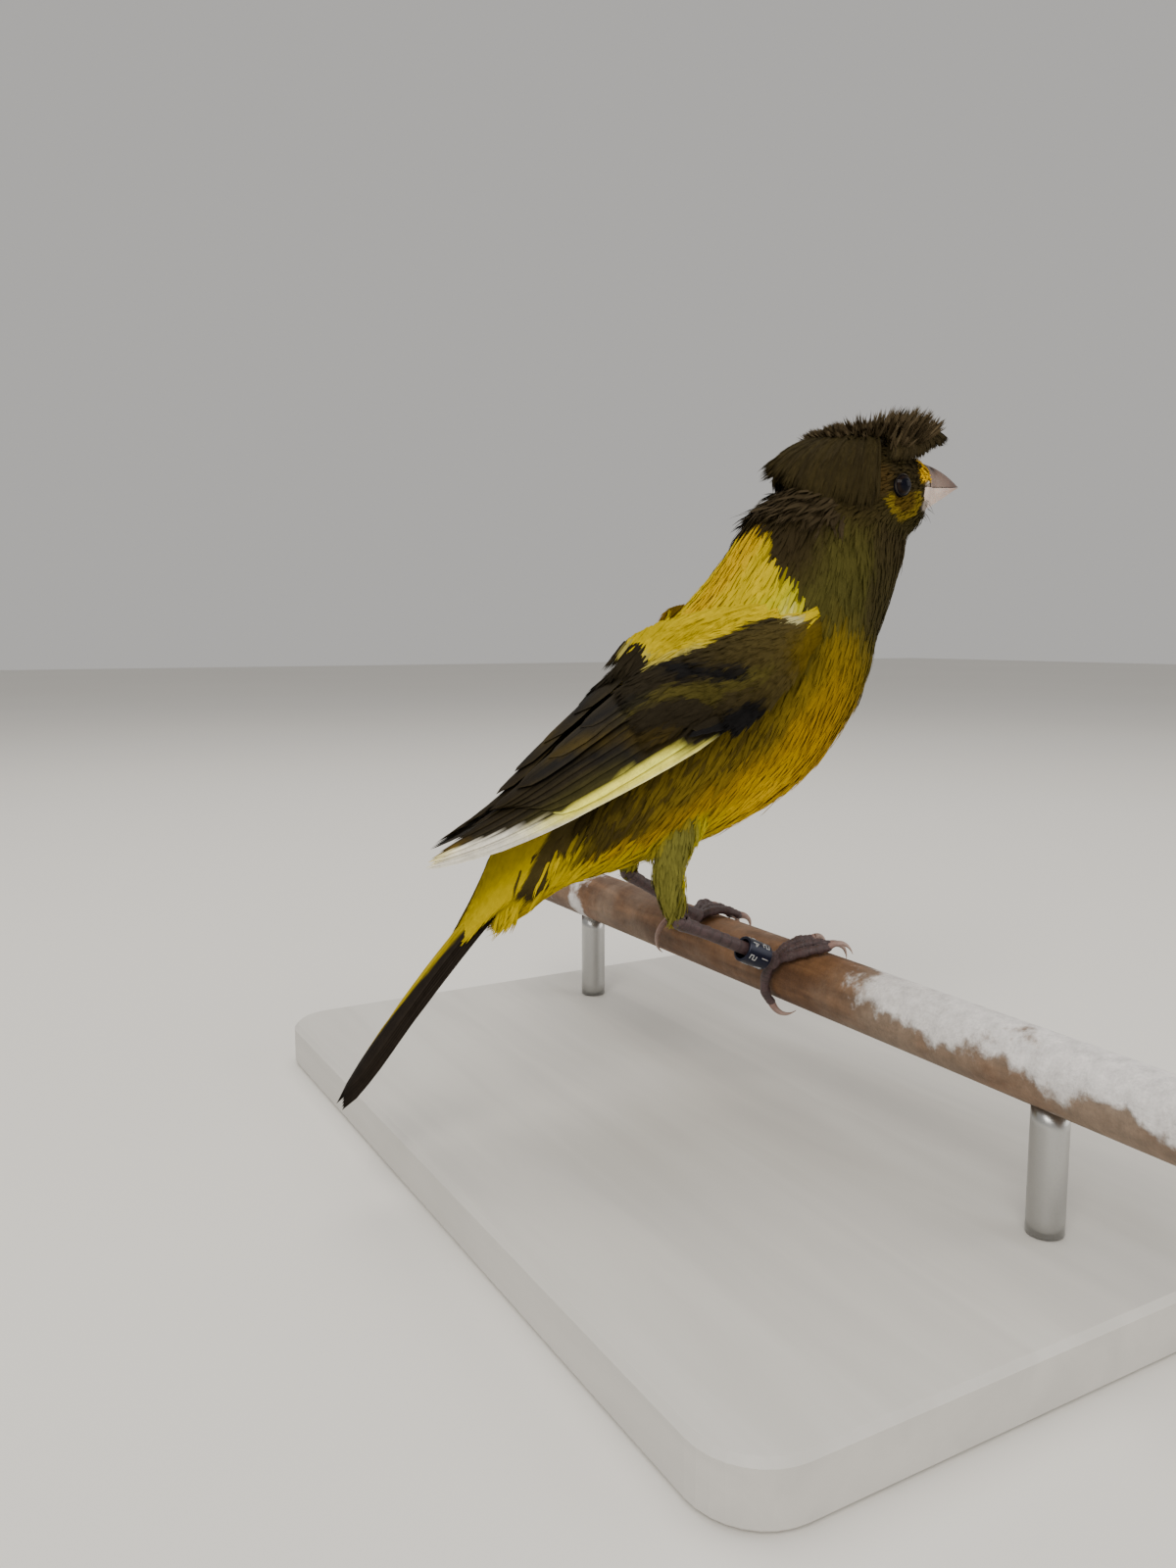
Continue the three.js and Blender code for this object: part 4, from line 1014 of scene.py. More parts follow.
@dataclass
class Tufts:
    """Small loose feathers: a slim, slightly domed web with a forked tip each."""

    rng: np.random.Generator
    shares: tuple[float, ...] = (0.0, 0.36, 0.72, 1.0)
    row: Array = field(default_factory=lambda: np.array([0, 0, 1, 1, 1, 2, 2, 2, 3, 3]))
    across: Array = field(default_factory=lambda: np.array([-0.4, 0.4, -1, 0, 1, -0.82, 0, 0.82, -0.45, 0.4]))
    faces: Array = field(default_factory=lambda: np.array([
        (0, 2, 3), (0, 3, 1), (1, 3, 4), (2, 5, 6), (2, 6, 3), (3, 6, 7), (3, 7, 4), (5, 8, 6), (6, 9, 7)]))
    dome: float = 0.22

    def lay(self, bundle: Bundle, middle: Array, side: Array, normal: Array, half: Array, tone: Array,
            bake: Array, spread: float = 0.04) -> None:
        """Adds one tuft along each middle line.

        Args:
            bundle: The piece that they go into.
            middle: Four points of each middle line, from root to tip, in mm.
            side: The way across each.
            normal: The way out of the coat at each.
            half: Half the width of each.
            tone: The colour of each.
            bake: The place of each root on the skin's unwrap.
            spread: How much their shades differ.
        """
        n, k = len(middle), len(self.across)
        rng = self.rng
        far = self.row > 2
        c = self.across + rng.normal(0, 0.1, (n, k)) * (self.row > 1)
        line = middle[:, self.row]
        uneven = rng.uniform(-0.3, 0.1, (n, k)) * far
        line = line + (middle[:, 3] - middle[:, 2])[:, None] * uneven[..., None]
        points = (line + side[:, None] * (half[:, None] * c)[..., None]
                  - normal[:, None] * (0.25 * half[:, None] * c ** 2)[..., None])
        lean = unit(normal[:, None] + side[:, None] * (self.dome * c)[..., None])
        colours = np.clip(tone * (1 + rng.normal(0, spread, (n, 1))), 0, 1)
        s = np.array(self.shares)[self.row]
        patch = np.stack([0.0014 * c, np.broadcast_to(0.0014 * (2 * s - 1), c.shape)], -1)
        faces = (self.faces[None] + (np.arange(n) * k)[:, None, None]).reshape(-1, 3)
        bundle.add(points.reshape(-1, 3), faces, np.repeat(colours, k, 0),
                   vane=np.stack([c, np.broadcast_to(s, c.shape)], -1).reshape(-1, 2),
                   bake=(bake[:, None] + patch).reshape(-1, 2), normal=lean.reshape(-1, 3))

    def grow(self, bundle: Bundle, root: Array, lie: Array, normal: Array, length: Array, half: Array,
             tone: Array, bake: Array, lift: Array, curl: Array, stray: float = 0.1) -> None:
        """Adds one tuft at each root, rising from the skin and bending back to it.

        Args:
            bundle: The piece that they go into.
            root: Where each grows, in mm.
            lie: The way each lies.
            normal: The way out of the skin at each.
            length: The length of each.
            half: Half the width of each.
            tone: The colour of each.
            bake: The place of each root on the skin's unwrap.
            lift: How steeply each rises from the skin.
            curl: How far each bends back to it, as a share of its length.
            stray: How far their ways differ, in radians.
        """
        n = len(root)
        lie = unit(lie - normal * np.sum(lie * normal, 1, keepdims=True))
        lie = turned(lie, normal, self.rng.normal(0, stray, n))
        side = np.cross(normal, lie)
        s = np.array(self.shares)[None]
        rise = np.reshape(lift, (-1, 1)) * s - np.reshape(curl, (-1, 1)) * s ** 2
        sway = self.rng.normal(0, 0.05, (n, 1)) * s ** 2
        steps = [s * np.ones((n, 1)), sway, rise]
        middle = root[:, None] + sum(way[:, None] * (length[:, None] * step)[..., None]
                                     for way, step in zip((lie, side, normal), steps))
        self.lay(bundle, middle, side, normal, half, tone, bake)


@dataclass
class Plumage:
    """The bird's skin and the coat of small feathers on it."""

    form: Form
    markings: Markings
    wardrobe: Wardrobe
    tufts: Tufts
    voxel: float = 0.62
    tuft_length: float = 5.4
    tuft_half: float = 0.29
    head_coat: float = 0.6
    shin_coat: float = 0.85
    hackles: int = 1100
    # How many tufts grow on each vertex of the skin, by region.
    thickness: dict[str, float] = field(default_factory=lambda: {
        "head": 2.6, "neck": 2.0, "body": 1.9, "belly": 1.9, "rump": 2.0, "shins": 1.9})

    def build(self) -> None:
        """Makes the skin, then the coat in pieces."""
        points, normals = self._roots(self._skin())
        self._coat(points, normals)
        self._hackles(points, normals)

    def _skin(self) -> bpy.types.Object:
        """One smooth skin over trunk, head and shins, inside the solids by the coat's depth."""
        bundle = Bundle()
        rows, sides = 60, 56
        share, angle = np.linspace(0, 1, rows), np.linspace(0, TURN, sides, endpoint=False)
        t, a = np.meshgrid(share, angle, indexing="ij")
        trunk = self.form.trunk_at(t, a, -self.form.coat).reshape(-1, 3)
        head = self.form.head_at(t * 0.985, a, -self.head_coat).reshape(-1, 3)
        for shape in (trunk, head):
            bundle.add_closed(*capped(shape, rows, sides), OLIVE)
        for side in Side:
            path, radii = Shin(side).path(40)
            bundle.add_tube(path, radii - self.shin_coat, 24, LEFTWARD, OLIVE)
        rough = bundle.build("skin_rough", self.wardrobe.skin, "plumage_olive")
        joined = rough.modifiers.new("join", "REMESH")
        joined.mode, joined.voxel_size, joined.adaptivity = "VOXEL", self.voxel / 1000, 0.0
        eased = rough.modifiers.new("ease", "SMOOTH")
        eased.factor, eased.iterations = 0.5, 8
        made = rough.evaluated_get(bpy.context.evaluated_depsgraph_get()).to_mesh()
        co = np.empty(len(made.vertices) * 3, np.float32)
        made.vertices.foreach_get("co", co)
        corners = np.empty(len(made.loops), np.int32)
        made.loops.foreach_get("vertex_index", corners)
        points = co.reshape(-1, 3).astype(float) * 1000 - ORIGIN
        faces = corners.reshape(-1, 4)
        bpy.data.objects.remove(rough)
        whole = Bundle()
        tone = mix(self.markings.paint(points), self.markings.shin(points), self.on_shin(points))
        # Painted shade: the skin under the coat takes the plumage's colours at 0.6 of their strength.
        whole.add(points, faces, tone * 0.6)
        skin = whole.build("skin", self.wardrobe.skin, "plumage_olive")
        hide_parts("torso", "rump", "neck", "head", "thigh_right", "thigh_left")
        return skin

    def _roots(self, skin: bpy.types.Object) -> tuple[Array, Array]:
        """The skin's vertices and normals, in mm."""
        n = len(skin.data.vertices)
        co, no = np.empty(n * 3, np.float32), np.empty(n * 3, np.float32)
        skin.data.vertices.foreach_get("co", co)
        skin.data.vertices.foreach_get("normal", no)
        return co.reshape(-1, 3) * 1000.0 - ORIGIN, no.reshape(-1, 3).astype(float)

    def lie(self, p: Array) -> Array:
        """The way the feathers lie at each point: back over the head, then down the body."""
        _, phi, axis = self.form.along_trunk(p)
        q = self.form.turn(p, back=True)
        from_bill = unit(q - np.array([37.0, 0.0, 82.5]))
        back = unit(from_bill + np.array([-0.5, 0.0, -0.25]))
        down_leg = np.array([-0.05, 0.0, -1.0])
        fall = np.array([0.0, 0.0, -0.35]) * (ramp(20, 60, phi) * ramp(150, 110, phi))[:, None]
        flow = mix(fall - axis, self.form.turn(back + [self.form.pivot, 0, 0]) - [self.form.pivot, 0, 0],
                   self.form.in_head(p))
        return unit(mix(flow, down_leg, self.on_shin(p)))

    def on_shin(self, p: Array) -> Array:
        """How far points belong to the feathered shins, from 0 to 1."""
        near = np.full(len(p), 1e3)
        for side in Side:
            path, radii = Shin(side).path(20)
            near = np.minimum(near, (np.linalg.norm(p[:, None] - path[None], axis=2) - radii[None]).min(1))
        inside = np.hypot(p[:, 0] + 22, (p[:, 2] - 18) / 1.7)
        return ramp(1.2, 0.2, near) * ramp(7.6, 5.4, inside)

    def _coat(self, roots: Array, normals: Array) -> None:
        """Grows the coat on the skin's vertices, in pieces by region."""
        rng = self.tufts.rng
        head, shin = self.form.in_head(roots), self.on_shin(roots)
        q = self.form.turn(roots, back=True)
        t, phi, _ = self.form.along_trunk(roots)
        face = ramp(14, 29, q[:, 0]) * head
        lie = self.lie(roots)
        length = (self.tuft_length - 2.7 * head - 1.3 * face) * (1 - 0.45 * shin)
        length = length + 1.6 * ramp(0.2, 0.1, t) * (1 - head) * (1 - shin)
        half = self.tuft_half - 0.06 * head - 0.06 * face - 0.07 * shin
        eye = np.hypot(q[:, 0] - 22.6, q[:, 2] - 80.9)
        open_eye = (head > 0.5) & (eye < 1.95) & (np.abs(q[:, 1]) > 5)
        gape = (q[:, 0] > 29.7) & (q[:, 2] > 77.4) & (q[:, 2] < 82.3)
        crown = (head > 0.5) & (q[:, 2] > 87.2) & (q[:, 0] > 11) & (q[:, 0] < 30)
        keep = ~open_eye & ~gape & ~crown & (q[:, 0] < 32.6) & (np.abs(np.sum(lie * normals, 1)) < 0.8)
        keep &= (t > 0.045) | (head > 0.5) | (shin > 0.5)
        region = np.where(shin > 0.5, "shins", np.where(head > 0.5, "head", np.where(
            t > 0.62, "neck", np.where(t < 0.16, "rump", np.where(phi > 95, "belly", "body")))))
        for name, times in self.thickness.items():
            chosen = np.flatnonzero((region == name) & keep)
            bundle = Bundle()
            for turn in range(math.ceil(times)):
                k = chosen[rng.random(len(chosen)) < times - turn]
                p = roots[k] + rng.normal(0, 0.2, (len(k), 3))
                size = length[k] * rng.uniform(0.75, 1.2, len(k))
                seen = p + lie[k] * (0.55 * size)[:, None]
                tone = mix(self.markings.paint(seen), self.markings.shin(p), shin[k])
                dark = self.markings.streaks(seen) * (blotches(seen * [1, 1, 1.6], 1.5, 31) > 0.58)
                tone = mix(tone, UMBER, 0.55 * dark)
                steep = 0.16 - 0.08 * ramp(0.24, 0.14, t[k]) * (1 - shin[k])
                lift = np.clip(steep + rng.normal(0, 0.05, len(k)), 0.04, 0.4)
                curl = 0.1 + size / (2 * (26 - 17 * np.maximum(head[k], shin[k])))
                wide = half[k] * rng.uniform(0.7, 1.3, len(k))
                bake = self.form.unwrap(p)
                self.tufts.grow(bundle, p, lie[k], normals[k], size, wide, tone, bake, lift, curl)
            bundle.build(f"coat_{name}", self.wardrobe.down,
                         "plumage_olive" if name in ("head", "neck") else "plumage_yellow")

    def _hackles(self, roots: Array, normals: Array) -> None:
        """Grows the long loose feathers that stand out from the nape."""
        rng = self.tufts.rng
        t, phi, _ = self.form.along_trunk(roots)
        nape = (t > 0.89) & (phi < 75) & (roots[:, 0] < 9) & (roots[:, 2] < 84)
        k = rng.choice(np.flatnonzero(nape), self.hackles)
        p = roots[k] + rng.normal(0, 0.3, (len(k), 3))
        size = rng.uniform(3.5, 6.0, len(k))
        tone = mix(UMBER, FLUFF, 0.45 * rng.random(len(k)))
        bundle = Bundle()
        self.tufts.grow(bundle, p, self.lie(p), normals[k], size, rng.uniform(0.22, 0.4, len(k)), tone,
                        self.form.unwrap(p), rng.normal(0.34, 0.12, len(k)), np.full(len(k), 0.26), 0.22)
        bundle.build("hackles", self.wardrobe.down, "plumage_dark")


@dataclass(frozen=True)
class Shin:
    """The feathered shin of one leg."""

    side: Side

    def path(self, count: int) -> tuple[Array, Array]:
        """The middle line and the radii from inside the belly to just above the heel."""
        knots = {Side.RIGHT: ((-20.6, -9.2, 30), (-25.0, -9.9, 20.5), (-23.7, -10.1, 12.3)),
                 Side.LEFT: ((-17, 9.6, 31), (-20.4, 11.4, 23), (-18.6, 12.4, 15.5))}[self.side]
        radii = (4.4, 4.3, 3.8, 3.4, 3.2, 3.0, 2.6, 1.9)
        return subdivided(knots, count), subdivided(radii, count)


# Firm feathers


@dataclass
class Feather:
    """One firm feather as a thin closed blade on a curved frame."""

    blade: Blade = Blade.ROUNDED
    rows: int = 15
    columns: int = 7
    thickness: float = 0.16
    camber: float = 0.14

    def profile(self, s: Array) -> Array:
        """The share of the full width at each share of the length."""
        root, start, power = self.blade.value
        taper = np.clip((s - start) / (1 - start), 0, 1) ** power
        return (root + (1 - root) * ramp(0, 0.22, s)) * np.sqrt(np.maximum(0, 1 - taper))

    def add(self, bundle: Bundle, frame_at: Callable, half: float, paint: Callable,
            rng: np.random.Generator) -> None:
        """Adds the feather to a piece.

        Args:
            bundle: The piece that it goes into.
            frame_at: Gives points, ways across, ways out and places to paint by for shares of the length.
            half: Half the full width, in mm.
            paint: Gives colours of web and edge for two rows of places.
            rng: The source of small differences.
        """
        s = np.linspace(0, 1, self.rows) ** 0.85
        c = np.linspace(-1, 1, self.columns)
        point, across, out, place = frame_at(s)
        width = half * self.profile(s)
        ragged = 1 + rng.normal(0, 0.03, (self.rows, 1)) * (np.abs(c) > 0.99)[None]
        over = c[None] * ragged * width[:, None]
        grid = (point[:, None] + across[:, None] * over[..., None]
                - out[:, None] * (self.camber * c[None] ** 2 * width[:, None])[..., None])
        body = self.thickness * (1 - c[None] ** 2) * np.minimum(1, 8 * (1 - s))[:, None]
        shaft = 0.09 * bell(c[None], 0.0, 0.12) * (1 - s)[:, None]
        top = grid + out[:, None] * (body / 2 + shaft)[..., None]
        bottom = grid - out[:, None] * (body / 2)[..., None]
        faces = grid_faces(self.rows, self.columns)
        n = self.rows * self.columns
        vane = np.stack(np.broadcast_arrays(c[None], s[:, None]), -1).reshape(-1, 2)
        u, v, per_mm = (row[:, None] for row in place)
        tone, edge = paint((u + 0 * over).ravel(), (v + over * per_mm).ravel())
        shade = 1 + rng.normal(0, 0.06)
        tone, edge = (np.clip(np.concatenate([rows, rows]) * shade, 0, 1) for rows in (tone, edge))
        bundle.add(np.concatenate([top.reshape(-1, 3), bottom.reshape(-1, 3)]),
                   np.concatenate([faces, faces[:, ::-1] + n]), tone, edge, np.concatenate([vane, vane]))


@dataclass
class Wing:
    """One folded wing: its arm, flight feathers and coverts."""

    side: Side
    wardrobe: Wardrobe
    tufts: Tufts
    markings: Markings
    # The upper and the lower edge from shoulder to tip, and how far the wing stands out between them.
    upper: tuple = ((-1.9, -13, 58.9), (-15.4, -10, 56), (-24.4, -2.4, 51), (-38, -1, 41),
                    (-51.3, -0.8, 31), (-61.4, -2.4, 25.1))
    lower: tuple = ((-3.9, -17, 53.4), (-13.4, -18.6, 45), (-24.5, -17.6, 38.2), (-38.5, -14, 31.5),
                    (-52, -9.5, 26), (-63.4, -5.2, 23.3))
    bulge: tuple = (1.2, 2.6, 3.4, 2.6, 1.4, 0.4)
    shift: Triple = (3.4, 1.8, 4.8)  # the left wing: forward, up, and degrees of droop

    def surface(self, u: Array, v: Array, h: Array) -> Array:
        """Points of the right wing: u to the tip, v from its upper edge to its lower one, h outwards."""
        u, v, h = np.broadcast_arrays(np.asarray(u, float), np.asarray(v, float), np.asarray(h, float))
        t = np.clip(u, 0, 1)
        e = 1e-3
        along = unit(read(self.upper, t + e) - read(self.upper, t - e)
                     + read(self.lower, t + e) - read(self.lower, t - e))
        top = read(self.upper, t)
        down = read(self.lower, t) - top
        out = upward(unit(np.cross(down, along)))
        rise = read(self.bulge, t) * np.maximum(0, 4 * v * (1 - v)) + h
        return top + down * v[..., None] + out * rise[..., None] + along * (70 * (u - t))[..., None]

    def on_side(self, p: Array) -> Array:
        """Moves points of a right wing to this wing."""
        if self.side is Side.RIGHT:
            return p
        forward, up, droop = self.shift
        a = math.radians(-droop)
        y, z = -p[..., 1], p[..., 2] - 51.0
        return np.stack([p[..., 0] + forward, y * math.cos(a) - z * math.sin(a),
                         y * math.sin(a) + z * math.cos(a) + up + 51.0], -1)

    def frame_at(self, start: tuple, end: tuple, layer: tuple, tilt: float) -> Callable:
        """The curved frame of a feather from one place on the wing to another."""

        def frames(s: Array) -> tuple[Array, Array, Array, tuple]:
            """Points, ways across, ways out and places on the wing at shares of the length."""
            u = start[0] + (end[0] - start[0]) * s
            v = start[1] + (end[1] - start[1]) * s ** 0.9
            h = layer[0] + (layer[1] - layer[0]) * s
            p = self.surface(u, v, h)
            chord = np.linalg.norm(self.surface(u, 1.0, 0.0) - self.surface(u, 0.0, 0.0), axis=-1)
            side = self.on_side(self.surface(u, v + 0.02, h + tilt * 0.02 * chord)) - self.on_side(p)
            ahead = self.on_side(self.surface(u + 0.01, v, h)) - self.on_side(p)
            return self.on_side(p), unit(side), upward(unit(np.cross(side, ahead))), (u, v, 1 / chord)

        return frames

    def paint(self, u: Array, v: Array) -> tuple[Array, Array]:
        """The colours of web and edge at places on the wing."""
        tone = self.markings.wing(u, v)
        if self.side is Side.LEFT:
            tone = mix(tone, UMBER * 0.7, ramp(0.72, 0.78, u))
        return tone, tone * 1.25 + np.array([0.006, 0.0045, 0.0008])

    def build(self) -> None:
        """Makes the wing in its pieces."""
        name = self.side.name.lower()
        for key, make, finish in (("flight_feathers", self._flight, self.wardrobe.vane),
                                  ("outer_primaries", self._outer_primaries, self.wardrobe.pale_vane),
                                  ("coverts", self._coverts, self.wardrobe.vane),
                                  ("wing_arm", self._arm, self.wardrobe.skin),
                                  ("shoulder", self._shoulder, self.wardrobe.down)):
            bundle = Bundle()
            make(bundle)
            piece = bundle.build(f"{key}_{name}", finish, "plumage_dark")
            if key == "flight_feathers":
                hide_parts(f"wing_{name}")

    def _row(self, bundle: Bundle, count: int, blade: Blade, place: Callable,
             paint: Callable | None = None) -> None:
        """Adds a row of feathers from the upper edge down.

        Args:
            bundle: The piece that they go into.
            count: How many there are.
            blade: Their outline.
            place: Gives start, end, half-width, layers and tilt for a share of the row.
            paint: Gives their colours; those of the wing's map where it is left out.
        """
        feather = Feather(blade)
        for i in range(count):
            start, end, half, layer, tilt = place(i / (count - 1))
            frames = self.frame_at(start, end, layer, tilt)
            feather.add(bundle, frames, half, paint or self.paint, self.tufts.rng)

    def _flight(self, bundle: Bundle) -> None:
        """Adds the dark inner primaries, the secondaries and the tertials."""
        self._row(bundle, 5, Blade.POINTED, lambda s: (
            (0.2, 0.68 + 0.14 * s), (0.86 + 0.14 * math.sin(1.5 * s), 0.2 + 0.42 * s),
            1.9, (-0.9, -0.75 - 0.1 * s), 0.28))
        self._row(bundle, 7, Blade.ROUNDED, lambda s: (
            (0.26, 0.44 + 0.34 * s), (0.81 - 0.1 * s, 0.24 + 0.54 * s),
            2.3, (-0.2, 0.0 - 0.55 * s), 0.2))
        self._row(bundle, 3, Blade.ROUNDED, lambda s: (
            (0.26, 0.36 - 0.16 * s), (0.74 - 0.16 * s, 0.28 - 0.12 * s),
            3.0 + 0.3 * s, (0.3, 0.55 + 0.22 * s), 0.15))

    def _outer_primaries(self, bundle: Bundle) -> None:
        """Adds the pale outer primaries along the lower edge."""
        self._row(bundle, 4, Blade.POINTED, lambda s: (
            (0.26, 0.84 + 0.06 * s), (0.97 + 0.035 * math.sin(2 * s), 0.66 + 0.24 * s),
            1.05, (-0.6, -0.9 - 0.12 * s), 0.3))

    def _coverts(self, bundle: Bundle) -> None:
        """Adds the greater, median and primary coverts and the alula."""
        self._row(bundle, 10, Blade.ROUNDED, lambda s: (
            (0.13, 0.1 + 0.74 * s), (0.47 - 0.07 * s, 0.08 + 0.74 * s), 2.0, (0.3, 0.75), 0.12))
        self._row(bundle, 9, Blade.ROUNDED, lambda s: (
            (0.07, 0.14 + 0.68 * s), (0.33 - 0.06 * s, 0.1 + 0.68 * s), 1.9, (0.6, 1.15), 0.12))
        self._row(bundle, 3, Blade.NARROW, lambda s: (
            (0.17, 0.87 + 0.05 * s), (0.41 - 0.05 * s, 0.87 + 0.04 * s), 1.15, (0.3, 0.75), 0.2),
            lambda u, v: (SOOT + 0 * u[:, None], SOOT * 1.6 + 0 * u[:, None]))

    def _arm(self, bundle: Bundle) -> None:
        """Adds the wing's arm, a rounded slab under the feathers."""
        rows, sides = 26, 24
        t, k = np.meshgrid(np.linspace(0, 1, rows), np.arange(sides) / sides * TURN, indexing="ij")
        swell = np.sin(np.pi * (0.16 + 0.77 * t)) ** 0.5
        p = self.on_side(self.surface(0.015 + 0.485 * t, 0.47 + (0.44 - 0.06 * t) * swell * np.cos(k),
                                      -1.2 + 2.0 * swell * np.sin(k))).reshape(-1, 3)
        points, faces = capped(p, rows, sides)
        if self.side is Side.LEFT:
            faces = [f[:, ::-1] for f in faces]
        # Painted shade: the arm under the feathers is olive at half strength.
        bundle.add_closed(points, faces, OLIVE * 0.5)

    def _shoulder(self, bundle: Bundle) -> None:
        """Grows the small feathers over the front of the wing, and the mantle's over its upper edge."""
        rng = self.tufts.rng
        over, reach = (0.35, 0.42) if self.side is Side.RIGHT else (-0.5, 0.3)
        for n, us, vs, high, fall, size in ((9000, (-0.03, 0.27), (0.0, 1.0), 0.75, 0.0, (3.0, 4.6)),
                                            (4200, (0.0, reach), (-0.32, 0.13), over, 0.5, (4.0, 6.5)),
                                            (3000, (0.2, 0.46), (0.1, 0.8), 0.45, 0.0, (3.0, 4.4))):
            u, v = rng.uniform(*us, n), rng.uniform(*vs, n)
            if fall:
                low = np.interp(u, (0, 0.1, 0.2, 0.3, 0.4, 0.42), (0.1, -0.12, -0.02, 0.08, 0.0, -0.1))
                u, v = u[v < low], v[v < low]
            n = len(u)
            length = rng.uniform(*size, n)
            rise = high + 0.35 * rng.random(n) + 0.4 * np.clip(u / 0.3, 0, 1)
            p = self.surface(u, v, rise)
            ahead = unit(self.surface(u + 0.01, v, rise) - p)
            side = unit(self.surface(u, v + 0.01, rise) - p)
            out = upward(unit(np.cross(side, ahead)))
            lie = unit(ahead + fall * side)
            tone = self.markings.wing(u + 0.55 * length / 70, v + 0.55 * fall * length / 14)
            base = self.on_side(p)
            bake = np.stack([0.05 + 0.9 * (v + 0.35) / 1.4, 0.05 + 1.8 * (u + 0.03)], 1)
            half, lift = rng.uniform(0.22, 0.36, n), rng.normal(0.1, 0.04, n)
            self.tufts.grow(bundle, base, self.on_side(p + lie) - base, self.on_side(p + out) - base, length,
                            half, tone, bake, lift, np.full(n, 0.11), 0.12)


@dataclass
class Tail:
    """The tail's twelve feathers, with the long coverts over and under its root."""

    wardrobe: Wardrobe
    tufts: Tufts
    root: tuple[float, float] = (-39.0, 27.4)
    tip: tuple[float, float] = (-75.6, -11.7)
    half: float = 3.6
    feather: float = 1.8
    bow: float = 1.3
    coverts: int = 7600
    # Down the tail: the half-width of the coverts, and how high they stand over it and under it.
    swell: tuple = ((-6, 0, 7.5, 15, 19, 23, 29), (9.8, 8.6, 6.9, 5.4, 4.6, 3.9, 3.4),
                    (8.2, 7.0, 5.6, 3.3, 2.3, 1.6, 0.9), (9.4, 7.8, 6.3, 4.6, 2.6, 1.2, 0.6))

    def __post_init__(self) -> None:
        """Works out the tail's own directions."""
        run = np.array([self.tip[0] - self.root[0], 0.0, self.tip[1] - self.root[1]])
        self.length = float(np.linalg.norm(run))
        self.along = run / self.length
        self.up = np.array([self.along[2], 0.0, -self.along[0]])

    def at(self, down: Array, across: Array, up: Array) -> Array:
        """Points of the tail: down it, across to the bird's left, and out of its upper face."""
        down, across, up = np.broadcast_arrays(*(np.asarray(x, float) for x in (down, across, up)))
        base = np.stack([np.full(down.shape, self.root[0]), across, np.full(down.shape, self.root[1])], -1)
        return base + self.along * down[..., None] + self.up * up[..., None]

    def build(self) -> None:
        """Makes the tail feathers and their coverts."""
        bundle = Bundle()
        for side in Side:
            for rank in range(6):
                self._feather(bundle, rank, side.value)
        piece = bundle.build("tail_feathers", self.wardrobe.vane, "plumage_dark")
        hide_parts("tail")
        self._coverts()

    def _feather(self, bundle: Bundle, rank: int, side: int) -> None:
        """Adds one tail feather; rank 0 is a middle one and 5 the outermost."""
        spread = (rank + 0.5) / 6
        length = self.length - 3.2 + 3.2 * math.sqrt(spread)
        tilt = side * 0.2 * spread if side < 0 else 0.0

        def frames(s: Array) -> tuple[Array, Array, Array, tuple]:
            """Points, ways across, ways out and places along and across at shares of the length."""
            y = side * spread * (self.half - self.feather) * (1.05 - 0.25 * s)
            p = self.at(2 + (length - 2) * s, y, 0.6 - 1.1 * spread + self.bow * np.sin(np.pi * s))
            across = np.array([0, math.cos(tilt), 0]) - self.up * math.sin(tilt)
            out = np.array([0, math.sin(tilt), 0]) + self.up * math.cos(tilt)
            return p, np.broadcast_to(across, p.shape), np.broadcast_to(out, p.shape), (s, y, 1 + 0 * s)

        def paint(s: Array, y: Array) -> tuple[Array, Array]:
            """The colours of web and edge: dark, with yellow along the outer side of the left ones."""
            border = np.interp(s, (0.2, 0.5, 0.7, 0.85, 0.95), (-1.3, -0.6, 0.5, 1.8, 4.5))
            outer = ramp(-0.2, 0.2, y - border)
            web = mix(TAIL_DARK, YELLOW * 0.7, outer)
            return web, mix(web * 1.6, YELLOW * 0.8, outer)

        Feather(Blade.ROUNDED, rows=18).add(bundle, frames, self.feather, paint, self.tufts.rng)

    def _coverts(self) -> None:
        """Grows the long coverts from the rump over both faces of the tail, close along it."""
        rng = self.tufts.rng
        n = self.coverts
        a = rng.uniform(0, TURN, n)
        rise, flat = np.sin(a), np.abs(np.cos(a))
        reach = np.where(rise > 0, 29.0, 20.5) - np.where(rise > 0, 13, 6) * flat ** 3
        start = -5 + (reach - 4) * rng.random(n) ** 0.9
        end = np.minimum(start + rng.uniform(6, 9, n), reach + rng.normal(0, 0.4, n))
        s = np.array(self.tufts.shares)[None]
        down = start[:, None] + (end - start)[:, None] * s
        wide, high, low = (np.interp(down, self.swell[0], rows) for rows in self.swell[1:])
        sunk = 0.75 * (1 - s) ** 2 - 0.1
        up = np.where(rise[:, None] > 0, high, low) - sunk
        middle = self.at(down, (wide - sunk) * np.cos(a)[:, None], up * rise[:, None])
        out = unit(self.up * (rise * 0.8)[:, None] + np.array([0, 1.0, 0]) * np.cos(a)[:, None])
        side = np.cross(out, unit(middle[:, 3] - middle[:, 0]))
        wide_at = np.interp(down[:, 2], (0, 6, 10, 14, 20), (0.62, 0.5, 0.36, 0.24, 0.18))
        middle_at = np.interp(down[:, 2], (6, 14), (-0.05, -0.12))
        wedge = ramp(0.06, -0.06, np.abs(rise - middle_at) - wide_at) * (np.cos(a) < 0)
        dark = mix(OLIVE * 1.5, UMBER * 1.1, ramp(9, 14, down[:, 2]))
        tone = layered(YELLOW, (dark, wedge), (AMBER * 0.8, 0.3 * ramp(0.3, -0.6, rise) * (1 - wedge)))
        bake = np.stack([0.04 + 0.92 * a / TURN, 0.1 + 0.025 * (start + 6)], 1)
        bundle = Bundle()
        self.tufts.lay(bundle, middle, side, out, rng.uniform(0.26, 0.44, n), tone, bake)
        bundle.build("tail_coverts", self.wardrobe.down, "plumage_yellow")


